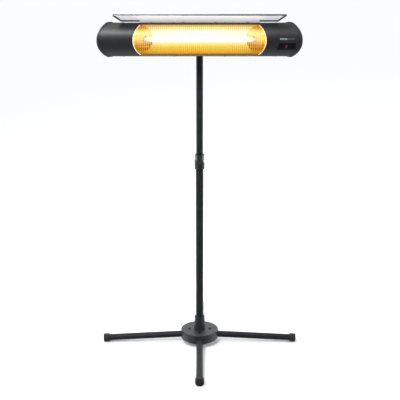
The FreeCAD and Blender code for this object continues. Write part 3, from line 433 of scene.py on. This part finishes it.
def reflectorPaintedGlow(name, stops, dish, endPaintedShade):
    # bright rolled aluminium with a hammered pattern. The lamp's reflection in it is painted as
    # emission, from white in the middle to amber at the lips, with a painted highlight in the
    # middle of each small dish and painted shade at its edge
    material, tree, shader = newMaterial(name, Metallic=1.0, Roughness=0.3)
    shader.inputs["Base Color"].default_value = linearColour(glow["metal"])
    ramp = heightRamp(tree, stops)
    place = addNode(tree, "ShaderNodeTexCoord")
    dishes = addNode(tree, "ShaderNodeTexVoronoi",
                     {"Scale": 1 / (dish * mm), "feature": "SMOOTH_F1", "Smoothness": 0.4},
                     {"Vector": place.outputs["Object"]})
    shade = addNode(tree, "ShaderNodeMapRange",
                    {"From Max": glow["dishEdge"], "To Min": glow["dishLevels"][0],
                     "To Max": glow["dishLevels"][1]}, {"Value": dishes.outputs["Distance"]})
    # painted shade towards the trough's two ends
    falling = alongHead(tree, glow["endPlaces"], (1.0, 1.0 - endPaintedShade))
    dimmed = addNode(tree, "ShaderNodeMath", {"operation": "MULTIPLY"},
                     {0: shade.outputs["Result"], 1: falling.outputs["Result"]})
    tinted = addNode(tree, "ShaderNodeMix",
                     {"data_type": "RGBA", "blend_type": "MULTIPLY", "Factor": glow["dishShare"]},
                     {6: ramp.outputs["Color"], 7: dimmed.outputs["Value"]})
    tree.links.new(tinted.outputs[2], shader.inputs["Emission Color"])
    inside = facing(tree, "Y", 0.0, glow["strength"])    # painted glow on the inside only; the outside of the trough stays dark
    tree.links.new(inside.outputs["Result"], shader.inputs["Emission Strength"])
    raiseBump(tree, shader, dishes.outputs["Distance"], glow["dishDepth"], glow["dishStrength"])
    return material


# warm golden tones on the steel wire: the lamp's colour painted in
wire = {"tones": [(0.3, "8a6a30"), (0.7, "b08a45")], "cloud": 6, "roughness": (0.28, 0.4)}


def drawnWire():
    # drawn stainless wire in front of the lamp: bright metal with the lamp's colour painted into
    # its tones and as emission, nearly lost in the white middle and amber towards the lips
    material, tree, shader = newMaterial("drawnSteelWire", Metallic=1.0)
    cloud = objectNoise(tree, wire["cloud"], 2)
    mottle(tree, shader, cloud, wire["tones"])
    spreadRoughness(tree, shader, cloud, wire["roughness"])
    ramp = heightRamp(tree, glow["wireStops"])
    tree.links.new(ramp.outputs["Color"], shader.inputs["Emission Color"])
    shader.inputs["Emission Strength"].default_value = glow["wireStrength"]
    return material


lamp = {
    "quartzTones": [(0.3, "fff2d0"), (0.7, "fffaf0")],
    "quartzGlow": "fff8e0",
    "quartzStrength": 0.35,
    "carbon": "2a1a10",
    "carbonTones": [(0.3, "ffdf8a"), (0.7, "fff6d8")],
    "carbonStrength": 2.0,
    "endPlaces": (185, 235),     # mm from the middle, where the element runs cooler
    "endShare": 0.12,            # of its light left inside the caps
}


def fadeTowardsEnds(tree, shader, strength):
    # the element runs cooler where it enters its caps
    falling = alongHead(tree, lamp["endPlaces"], (strength, strength * lamp["endShare"]))
    tree.links.new(falling.outputs["Result"], shader.inputs["Emission Strength"])


def quartzGlass():
    # fused quartz tube, clear, with a faint warm cast from the hot element inside
    material, tree, shader = newMaterial(
        "fusedQuartz", IOR=1.458, Roughness=0.03, Transmission_Weight=1.0)
    mottle(tree, shader, objectNoise(tree, 30, 2), lamp["quartzTones"])
    shader.inputs["Emission Color"].default_value = linearColour(lamp["quartzGlow"])
    fadeTowardsEnds(tree, shader, lamp["quartzStrength"])
    return material


def hotCarbon():
    # woven carbon ribbon at working heat: white-yellow, brighter where the weave opens
    material, tree, shader = newMaterial("glowingCarbon", Roughness=0.8)
    shader.inputs["Base Color"].default_value = linearColour(lamp["carbon"])
    mottle(tree, shader, objectNoise(tree, 2.5), lamp["carbonTones"], "Emission Color")
    fadeTowardsEnds(tree, shader, lamp["carbonStrength"])
    return material


# painted lamp light on the pieces beside the lamp: emission, and warm tones on the rim and the hem
besideLamp = {
    "rim": {"name": "steelRimPaintedGlow", "tones": [(0.3, "e8d2a8"), (0.7, "f4e4c4")],
            "glow": [(0.3, "ecd4a4"), (0.7, "f6e2b8")], "strength": 0.7},
    "hem": {"name": "hemPaintedAmberGlow", "tones": [(0.3, "7a5c2c"), (0.7, "8c6c34")],
            "glow": [(0.3, "7c5c26"), (0.7, "947030")], "strength": 0.6},
    "ceramic": {"name": "steatite", "tones": [(0.3, "c8c2b4"), (0.7, "dcd7ca")],
                "glow": [(0.3, "f8d060"), (0.7, "ffe080")], "strength": 0.85},
    "holder": {"name": "springSteelClip", "tones": [(0.3, "a9a290"), (0.7, "c3bca8")],
               "glow": [(0.3, "f0c048"), (0.7, "f8cc58")], "strength": 0.7},
    "cloud": 4,
}


def paintedLampGlow(finish):
    # steel or fired ceramic beside the lamp: its own dull surface, with the lamp's amber light
    # painted on as emission, and as warm tones on the rim and the hem
    values = besideLamp[finish]
    material, tree, shader = newMaterial(values["name"], Roughness=0.6)
    cloud = objectNoise(tree, besideLamp["cloud"], 2)
    mottle(tree, shader, cloud, values["tones"])
    mottle(tree, shader, cloud, values["glow"], "Emission Color")
    shader.inputs["Emission Strength"].default_value = values["strength"]
    return material


marks = {
    "redDigit": {"name": "redDiode", "tones": [(0.2, "a8182e"), (0.8, "c02038")],
                 "strength": 0.75},
    # the printed ink carries a painted glow; the grey ink's glow is weaker
    "mark": {"name": "padPrintedInk", "tones": [(0.2, "c8c8ca"), (0.8, "dcdcde")],
             "strength": 0.75},
    "markDim": {"name": "padPrintedGreyInk", "tones": [(0.2, "74686a"), (0.8, "847678")],
                "strength": 0.5},
    "base": "1c1c1c",
    "grain": 1.5,
}


def litMark(finish):
    # pad-printed ink or a lit diode bar: flat and even, with hardly any shade of its own. The
    # diode's light is its own; the ink's glow is painted light
    values = marks[finish]
    material, tree, shader = newMaterial(values["name"], Roughness=0.5)
    shader.inputs["Base Color"].default_value = linearColour(marks["base"])
    mottle(tree, shader, objectNoise(tree, marks["grain"], 1), values["tones"], "Emission Color")
    shader.inputs["Emission Strength"].default_value = values["strength"]
    return material


finishes = {
    "paint": powderCoatedSteel(),
    "hubPaint": castHubPaint(),
    "anodised": anodisedAluminium(),
    "abs": mouldedPlastic("abs"),
    "capAbs": mouldedPlastic("capAbs"),
    "collarAbs": mouldedPlastic("collarAbs"),
    "rubber": footRubber(),
    "zinc": platedSteel("zinc"),
    "blackScrew": platedSteel("blackScrew"),
    "chrome": platedSteel("chrome"),
    "acetal": mouldedPlastic("acetal"),
    "stainless": brushedStainless(),
    "visorEdgePaintedShade": platedSteel("visorEdgePaintedShade"),
    "reflector": reflectorPaintedGlow("hammeredAluminium", glow["stops"], glow["dish"], glow["endPaintedShade"]),
    "reflectorEnd": reflectorPaintedGlow("hammeredAluminiumEnd", glow["endStops"], glow["endDish"], 0.0),
    "wire": drawnWire(),
    "rim": paintedLampGlow("rim"),
    "quartz": quartzGlass(),
    "carbon": hotCarbon(),
    "hem": paintedLampGlow("hem"),
    "ceramic": paintedLampGlow("ceramic"),
    "holder": paintedLampGlow("holder"),
    "window": tintedWindow(),
    "redDigit": litMark("redDigit"),
    "mark": litMark("mark"),
    "markDim": litMark("markDim"),
    "board": circuitBoard(),
    "component": mouldedPlastic("component"),
}

nodeFinish = {
    "hubPaint": ["hub_cover"],
    "paint": ["leg_front", "leg_right", "leg_rear", "leg_left", "lower_mast", "upper_mast",
              "mast_fork", "tilt_arm"],
    "abs": ["mast_socket", "tilt_knob", "tip_switch", "cable_gland", "switch_frame",
            "power_rocker", "terminal_block"],
    "capAbs": ["end_cap_left", "end_cap_right"],
    "collarAbs": ["collar_sleeve", "clamp_yoke", "clamp_lever"],
    "rubber": ["foot_front", "foot_right", "foot_rear", "foot_left"],
    "zinc": ["hub_plate", "leg_nuts", "mast_plug", "mast_bolt", "lever_pin", "fork_screw",
             "tilt_bolt", "arm_screws", "backing_plate", "visor_screws", "visor_posts"],
    "blackScrew": ["leg_screws", "cover_screws"],
    "chrome": ["clamp_band"],
    "acetal": ["mast_bush", "friction_washers"],
    "anodised": ["housing", "rear_cover"],
    "reflector": ["reflector"],
    "reflectorEnd": ["reflector_end_left", "reflector_end_right"],
    "wire": ["grille"],
    "quartz": ["lamp_tube"],
    "carbon": ["lamp_filament"],
    "ceramic": ["lamp_cap_left", "lamp_cap_right"],
    "holder": ["lamp_holder_left", "lamp_holder_right"],
    "window": ["display_window"],
    "board": ["control_board"],
    "component": ["display_module", "relay", "thermal_cutout"],
    "stainless": ["visor"],
}

for finish, members in nodeFinish.items():
    for member in members:
        slots = nodes[member].material_slots
        if not slots:
            nodes[member].data.materials.append(finishes[finish])
        for materialSlot in slots:
            materialSlot.material = finishes[finish]
print("materials on", sum(len(members) for members in nodeFinish.values()), "CAD pieces")

# edges that are pressed, cast or moulded round
softened = {
    "width": 0.5 * mm,
    "segments": 2,
    "sharperThan": 40,           # degrees
    "pieces": ["housing", "rear_cover", "hub_cover", "mast_socket", "collar_sleeve", "clamp_band",
               "clamp_yoke", "clamp_lever", "tilt_arm", "mast_fork", "end_cap_left",
               "end_cap_right", "display_window", "switch_frame", "power_rocker", "cable_gland"],
}
for member in softened["pieces"]:
    edge = nodes[member].modifiers.new("softEdge", "BEVEL")
    edge.width = softened["width"]
    edge.segments = softened["segments"]
    edge.limit_method = "ANGLE"
    edge.angle_limit = math.radians(softened["sharperThan"])
    edge.harden_normals = False


# helpers for the new pieces

def addPiece(name, builder, finish):
    # every new piece is on the head
    mesh = bpy.data.meshes.new(name)
    builder.to_mesh(mesh)
    builder.free()
    for face in mesh.polygons:
        face.use_smooth = True
    mesh.materials.append(finishes[finish])
    piece = bpy.data.objects.new(name, mesh)
    bpy.context.scene.collection.objects.link(piece)
    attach(piece, "head")
    return piece


def thicken(piece, name, thickness, offset):
    solid = piece.modifiers.new(name, "SOLIDIFY")
    solid.thickness = thickness
    solid.offset = offset


def spread(half, steps):
    # evenly spaced values from -half to half
    return [half * (2 * k / steps - 1) for k in range(steps + 1)]


def roundSection(radius, sides):
    turns = [2 * math.pi * k / sides for k in range(sides)]
    return [(radius * math.cos(turn), radius * math.sin(turn)) for turn in turns]


def sweep(builder, path, section):
    # carries a section, a list of (across, up) pairs, along a path of points and closes its ends
    rings = []
    for index, point in enumerate(path):
        before = path[max(index - 1, 0)]
        after = path[min(index + 1, len(path) - 1)]
        ahead = (after - before).normalized()
        side = Vector((1, 0, 0)) if abs(ahead.x) < 0.7 else Vector((0, 0, 1))
        across = ahead.cross(side).normalized()
        up = across.cross(ahead).normalized()
        rings.append([builder.verts.new(point + across * a + up * b) for a, b in section])
    count = len(section)
    for first, second in zip(rings, rings[1:]):
        for index in range(count):
            following = (index + 1) % count
            builder.faces.new((first[index], first[following], second[following], second[index]))
    builder.faces.new(list(reversed(rings[0])))
    builder.faces.new(rings[-1])


# wire grille, bent to the curve of the housing just inside its wall

grille = {
    "wireRadius": 0.9 * mm,
    "rodRadius": 1.1 * mm,
    "pitch": 8 * mm,
    "reach": 60.5 * mm,            # half height that a wire covers
    "shortest": 6 * mm,            # half height under which a wire is left out
    "rods": (53 * mm, 25 * mm, -25 * mm, -53 * mm),
    "rodSeat": 0.8,                # of the rod's radius, so that it is welded to the wires
    "underWall": 0.7 * mm,         # wall to wire
    "clearOfEnd": 2.2 * mm,        # opening's end to the grille's end frame
    "clearOfCap": 14 * mm,         # last wire to where the end frame reaches the curve's front
    "steps": 22,
    "rodSteps": 12,
    "frameSteps": 36,
    "sides": 8,
}


def makeGrille():
    builder = bmesh.new()
    line = headCurve["radius"] - headCurve["wall"] - grille["underWall"] - grille["wireRadius"]
    place = headCurve["openingHalf"] - grille["clearOfEnd"]
    thin = roundSection(grille["wireRadius"], grille["sides"])
    thick = roundSection(grille["rodRadius"], grille["sides"])
    aside = int((place + headCurve["bulge"] - grille["clearOfCap"]) / grille["pitch"])
    for number in range(-aside, aside + 1):
        x = number * grille["pitch"]
        beyond = max(abs(x) - place, 0)
        reach = grille["reach"]
        if beyond > 0:             # the slanting end frame cuts this wire short
            ahead = curveMiddle - curveRear + beyond
            reach = min(reach, math.sqrt(max(line * line - ahead * ahead, 0)))
        if reach < grille["shortest"]:
            continue
        path = [Vector((x, curveFront(line, z), headMiddle + z))
                for z in spread(reach, grille["steps"])]
        sweep(builder, path, thin)
    rodLine = line - grille["wireRadius"] - grille["rodRadius"] * grille["rodSeat"]
    for height in grille["rods"]:
        y = curveFront(rodLine, height)
        half = place + curveRear - y - grille["rodRadius"]
        path = [Vector((x, y, headMiddle + height)) for x in spread(half, grille["rodSteps"])]
        sweep(builder, path, thick)
    for side in (-1, 1):
        path = [Vector((side * (place + curveRear - curveFront(line, z)), curveFront(line, z),
                        headMiddle + z)) for z in spread(grille["reach"], grille["frameSteps"])]
        sweep(builder, path, thick)
    piece = addPiece("wireGrille", builder, "wire")
    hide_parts("grille")


makeGrille()
print("grille of round wire made")


# rim on the curved ends of the opening, and the hem along its long edges: the rim's brightness and
# the hem's amber are painted lamp light

rim = {
    "radius": 1.3 * mm,
    "inset": 1.0 * mm,             # middle of the rim behind the curve's outside
    "shortOfHem": 0.5 * mm,
    "steps": 40,
    "sides": 8,
    "hem": 2.0 * mm,               # radius of the rolled long edge
    "hemAbove": 0.7,               # of that radius, past the opening's edge
    "hemInset": 0.5,               # of that radius, behind the curve's outside
    "hemSteps": 12,
    "hemSides": 10,
}


def makeRims():
    for name, side in (("Left", -1), ("Right", 1)):
        builder = bmesh.new()
        path = []
        for z in spread(headCurve["openingHeight"] - rim["shortOfHem"], rim["steps"]):
            y = curveFront(headCurve["radius"] - rim["inset"], z)
            path.append(Vector((side * (headCurve["openingHalf"] - rim["radius"] + curveRear - y),
                                y, headMiddle + z)))
        sweep(builder, path, roundSection(rim["radius"], rim["sides"]))
        addPiece("openingRim" + name, builder, "rim")
    for name, side in (("Lower", -1), ("Upper", 1)):
        builder = bmesh.new()
        z = side * (headCurve["openingHeight"] + rim["hem"] * rim["hemAbove"])
        y = curveFront(headCurve["radius"] - rim["hem"] * rim["hemInset"], z)
        half = headCurve["openingHalf"] + curveRear - y
        path = [Vector((x, y, headMiddle + z)) for x in spread(half, rim["hemSteps"])]
        sweep(builder, path, roundSection(rim["hem"], rim["hemSides"]))
        addPiece("openingHem" + name, builder, "hem")


makeRims()
print("rims of the opening made")


# rolled edge along the visor's outline, laid over the folded sheet: a dark piece that paints the
# shade along the sheet's edges

visor = {
    "edgeRadius": 1.5 * mm,
    "frontRadius": 2.7 * mm,
    "rise": 22,                    # degrees, front edge up
    "front": 79.3 * mm,            # rear edge to front edge along the sheet
    "wingHalf": 308 * mm,
    "tabHalf": 236 * mm,
    "tabDrop": 12 * mm,            # how far the edge follows the tab down
    "fold": 6.7 * mm,              # height of the folded front, sheet included
    "cornerInset": 1.5,            # of the edge's radius, from the sheet's front corner
    "sides": 8,
    "frontSides": 10,
}


def makeVisorEdge():
    low, high = boxOf("visor")
    rise = math.radians(visor["rise"])
    ahead = Vector((0, -math.cos(rise), math.sin(rise)))
    down = Vector((0, -math.sin(rise), -math.cos(rise)))
    frontTop = Vector((0, low.y + visor["fold"] * math.sin(rise), high.z))
    rear = frontTop - ahead * visor["front"]

    def spot(x, forward, sink):
        return rear + Vector((x, 0, 0)) + ahead * forward + down * sink

    builder = bmesh.new()
    inset = visor["edgeRadius"]
    section = roundSection(visor["edgeRadius"], visor["sides"])
    front = visor["front"] - inset
    corner = (high.x - low.x) / 2 - visor["cornerInset"] * visor["edgeRadius"]
    wing = visor["wingHalf"] - inset
    path = [spot(side * corner, front, visor["fold"] / 2) for side in (-1, 1)]
    sweep(builder, path, roundSection(visor["frontRadius"], visor["frontSides"]))
    for sink in (inset, visor["fold"] - inset):
        for side in (-1, 1):
            turns = [spot(side * corner, front, sink), spot(side * wing, inset, sink),
                     spot(side * visor["tabHalf"], inset, sink),
                     spot(side * visor["tabHalf"], inset - visor["tabDrop"], inset)]
            for start, end in zip(turns, turns[1:]):
                sweep(builder, [start, end], section)
    addPiece("visorEdgePaintedShade", builder, "visorEdgePaintedShade")


makeVisorEdge()
print("visor edge made")


# heating element: a carbon ribbon wound along the quartz tube

element = {
    "radius": 2.6 * mm,
    "pitch": 10 * mm,
    "width": 3.4 * mm,
    "thickness": 0.3 * mm,
    "perTurn": 14,
}


def makeElement():
    builder = bmesh.new()
    low, high = boxOf("lamp_filament")
    middle = (low + high) / 2
    length = high.x - low.x
    steps = int(length / element["pitch"] * element["perTurn"])
    rails = ([], [])
    for k in range(steps + 1):
        angle = 2 * math.pi * k / element["perTurn"]
        x = low.x + length * k / steps
        for rail, shift in zip(rails, (-0.5, 0.5)):
            along = min(max(x + shift * element["width"], low.x), high.x)
            rail.append(builder.verts.new((along, middle.y + element["radius"] * math.cos(angle),
                                           middle.z + element["radius"] * math.sin(angle))))
    for k in range(steps):
        builder.faces.new((rails[0][k], rails[0][k + 1], rails[1][k + 1], rails[1][k]))
    piece = addPiece("carbonRibbon", builder, "carbon")
    thicken(piece, "ribbonThickness", element["thickness"], 0)
    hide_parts("lamp_filament")


makeElement()
print("heating element made")


# display: a red digit on the window and a small printed heat mark above it

display = {
    "digitHeight": 9.5 * mm,
    "digitWidth": 5.6 * mm,
    "bar": 1.5 * mm,
    "barGap": 0.35,                # of a bar's width, left between two bars
    "barSteps": 4,
    "place": 0.49,                 # along the window, from its left end
    "lift": 0.65 * mm,             # digit off the housing's curve, just proud of the window
    "digitThickness": 0.2 * mm,
    "segments": "abgcd",           # lit bars, which make a 3
    "markHeight": 6.5 * mm,        # above the head's middle
    "markShift": 3 * mm,           # to the right of the window's middle
    "markLift": 0.08 * mm,
    "inkThickness": 0.1 * mm,
    "waves": 10,                   # a row of rising heat waves, the right half in grey ink
    "waveLength": 6.4 * mm,
    "waveSwing": 0.9 * mm,
    "waveSpread": 58 * mm,
    "waveWidth": 2.4 * mm,
    "waveSteps": 16,
}


def onCurve(x, z, lift):
    return Vector((x, curveFront(headCurve["radius"] + lift, z), headMiddle + z))


def strokeOnCurve(builder, points, width, lift):
    # a flat printed stroke that follows the curved front
    rails = ([], [])
    for index, (x, z) in enumerate(points):
        before = points[max(index - 1, 0)]
        after = points[min(index + 1, len(points) - 1)]
        ahead = Vector((after[0] - before[0], after[1] - before[1])).normalized()
        side = Vector((-ahead.y, ahead.x)) * width / 2
        rails[0].append(builder.verts.new(onCurve(x + side.x, z + side.y, lift)))
        rails[1].append(builder.verts.new(onCurve(x - side.x, z - side.y, lift)))
    for k in range(len(points) - 1):
        builder.faces.new((rails[0][k], rails[1][k], rails[1][k + 1], rails[0][k + 1]))


def makeDigit():
    low, high = boxOf("display_window")
    x = low.x + (high.x - low.x) * display["place"]
    z = (low.z + high.z) / 2 - headMiddle
    wide, tall = display["digitWidth"] / 2, display["digitHeight"] / 2
    gap = display["bar"] * display["barGap"]
    ends = {
        "a": ((-wide + gap, tall), (wide - gap, tall)),
        "g": ((-wide + gap, 0), (wide - gap, 0)),
        "d": ((-wide + gap, -tall), (wide - gap, -tall)),
        "b": ((wide, gap), (wide, tall - gap)),
        "c": ((wide, -tall + gap), (wide, -gap)),
    }
    builder = bmesh.new()
    for segment in display["segments"]:
        (x0, z0), (x1, z1) = ends[segment]
        shares = [k / display["barSteps"] for k in range(display["barSteps"] + 1)]
        points = [(x + x0 + (x1 - x0) * share, z + z0 + (z1 - z0) * share) for share in shares]
        strokeOnCurve(builder, points, display["bar"], display["lift"])
    piece = addPiece("redDigit", builder, "redDigit")
    thicken(piece, "digitThickness", display["digitThickness"], 1)


def makeHeatMarks():
    low, high = boxOf("display_window")
    middle = (low.x + high.x) / 2 + display["markShift"]
    count = display["waves"] // 2
    for half, finish in enumerate(("mark", "markDim")):
        builder = bmesh.new()
        for number in range(count * half, count * (half + 1)):
            share = (number + 0.5) / display["waves"] - 0.5
            start = middle + share * display["waveSpread"]
            points = []
            for k in range(display["waveSteps"] + 1):
                turn = k / display["waveSteps"]
                points.append((start + display["waveSwing"] * math.sin(2 * math.pi * turn),
                               display["markHeight"] + display["waveLength"] * (turn - 0.5)))
            strokeOnCurve(builder, points, display["waveWidth"], display["markLift"])
        piece = addPiece("heatMark" + str(half + 1), builder, finish)
        thicken(piece, "inkThickness", display["inkThickness"], 1)


makeDigit()
makeHeatMarks()
print("display made")


# camera, floor and light

view = {
    "distance": 3.744,             # metres in front of the mast
    "height": 1.761,
    "tiltDown": 16.44,             # degrees
    "lens": 82.41,                 # mm on a sensor 36 mm wide
    "sensor": 36.0,
    "shiftX": 0.001,
    "farthest": 100,
}


def makeCamera():
    cameraData = bpy.data.cameras.new("camera")
    cameraData.lens = view["lens"]
    cameraData.sensor_width = view["sensor"]
    cameraData.shift_x = view["shiftX"]
    cameraData.clip_end = view["farthest"]
    camera = bpy.data.objects.new("camera", cameraData)
    camera.location = (0, -view["distance"], view["height"])
    camera.rotation_euler = (math.radians(90 - view["tiltDown"]), 0, 0)
    bpy.context.scene.collection.objects.link(camera)
    bpy.context.scene.camera = camera


studio = {
    "floorHalf": 40.0,
    "paper": "f8f8f8",
    "room": "f9fafb",
    "ambient": 1.5,                # level of the white room behind and above
    "frontLevel": 0.12,            # level on the camera's side
    "frontFrom": -0.75,            # how far round to the front the dark side starts
    "frontTo": 0.12,
    "leftPlace": (-1.35, -2.9, 4.2),
    "leftTarget": (-0.35, 0, 1.35),
    "leftSize": (1.2, 1.7),
    "leftPower": 24,
    "leftSpread": 50,              # degrees
}


def makeFloor():
    builder = bmesh.new()
    half = studio["floorHalf"]
    builder.faces.new([builder.verts.new((x * half, y * half, 0))
                       for x, y in ((-1, -1), (1, -1), (1, 1), (-1, 1))])
    mesh = bpy.data.meshes.new("paperFloor")
    builder.to_mesh(mesh)
    builder.free()
    floor = bpy.data.objects.new("paperFloor", mesh)
    bpy.context.scene.collection.objects.link(floor)
    # white studio paper: matt, without a highlight
    material, tree, shader = newMaterial("whitePaper", Roughness=0.9, Specular_IOR_Level=0.1)
    shader.inputs["Base Color"].default_value = linearColour(studio["paper"])
    mesh.materials.append(material)
    floor.visible_glossy = False    # paint and metal mirror the room instead of the paper


def makeWorld():
    # a white room that is darker on the side of the camera, so that dark paint keeps its depth
    world = bpy.data.worlds.new("softWorld")
    world.use_nodes = True
    tree = world.node_tree
    place = addNode(tree, "ShaderNodeTexCoord")
    split = addNode(tree, "ShaderNodeSeparateXYZ", links={"Vector": place.outputs["Generated"]})
    span = addNode(tree, "ShaderNodeMapRange",
                   {"From Min": studio["frontFrom"], "From Max": studio["frontTo"],
                    "To Min": studio["frontLevel"], "To Max": studio["ambient"],
                    "interpolation_type": "SMOOTHSTEP"}, {"Value": split.outputs["Y"]})
    background = tree.nodes["Background"]
    background.inputs["Color"].default_value = linearColour(studio["room"])
    tree.links.new(span.outputs["Result"], background.inputs["Strength"])
    bpy.context.scene.world = world


def makeLeftLight():
    # one large soft light high on the left draws the long highlight on the head's left end
    data = bpy.data.lights.new("softLeft", "AREA")
    data.shape = "RECTANGLE"
    data.size, data.size_y = studio["leftSize"]
    data.energy = studio["leftPower"]
    data.spread = math.radians(studio["leftSpread"])
    light = bpy.data.objects.new("softLeft", data)
    light.location = studio["leftPlace"]
    towards = Vector(studio["leftTarget"]) - Vector(studio["leftPlace"])
    light.rotation_euler = towards.to_track_quat("-Z", "Y").to_euler()
    bpy.context.scene.collection.objects.link(light)


makeCamera()
makeFloor()
makeWorld()
makeLeftLight()
bpy.context.scene.view_settings.view_transform = "Standard"
bpy.context.scene.view_settings.look = "None"
print("camera, floor and light made")
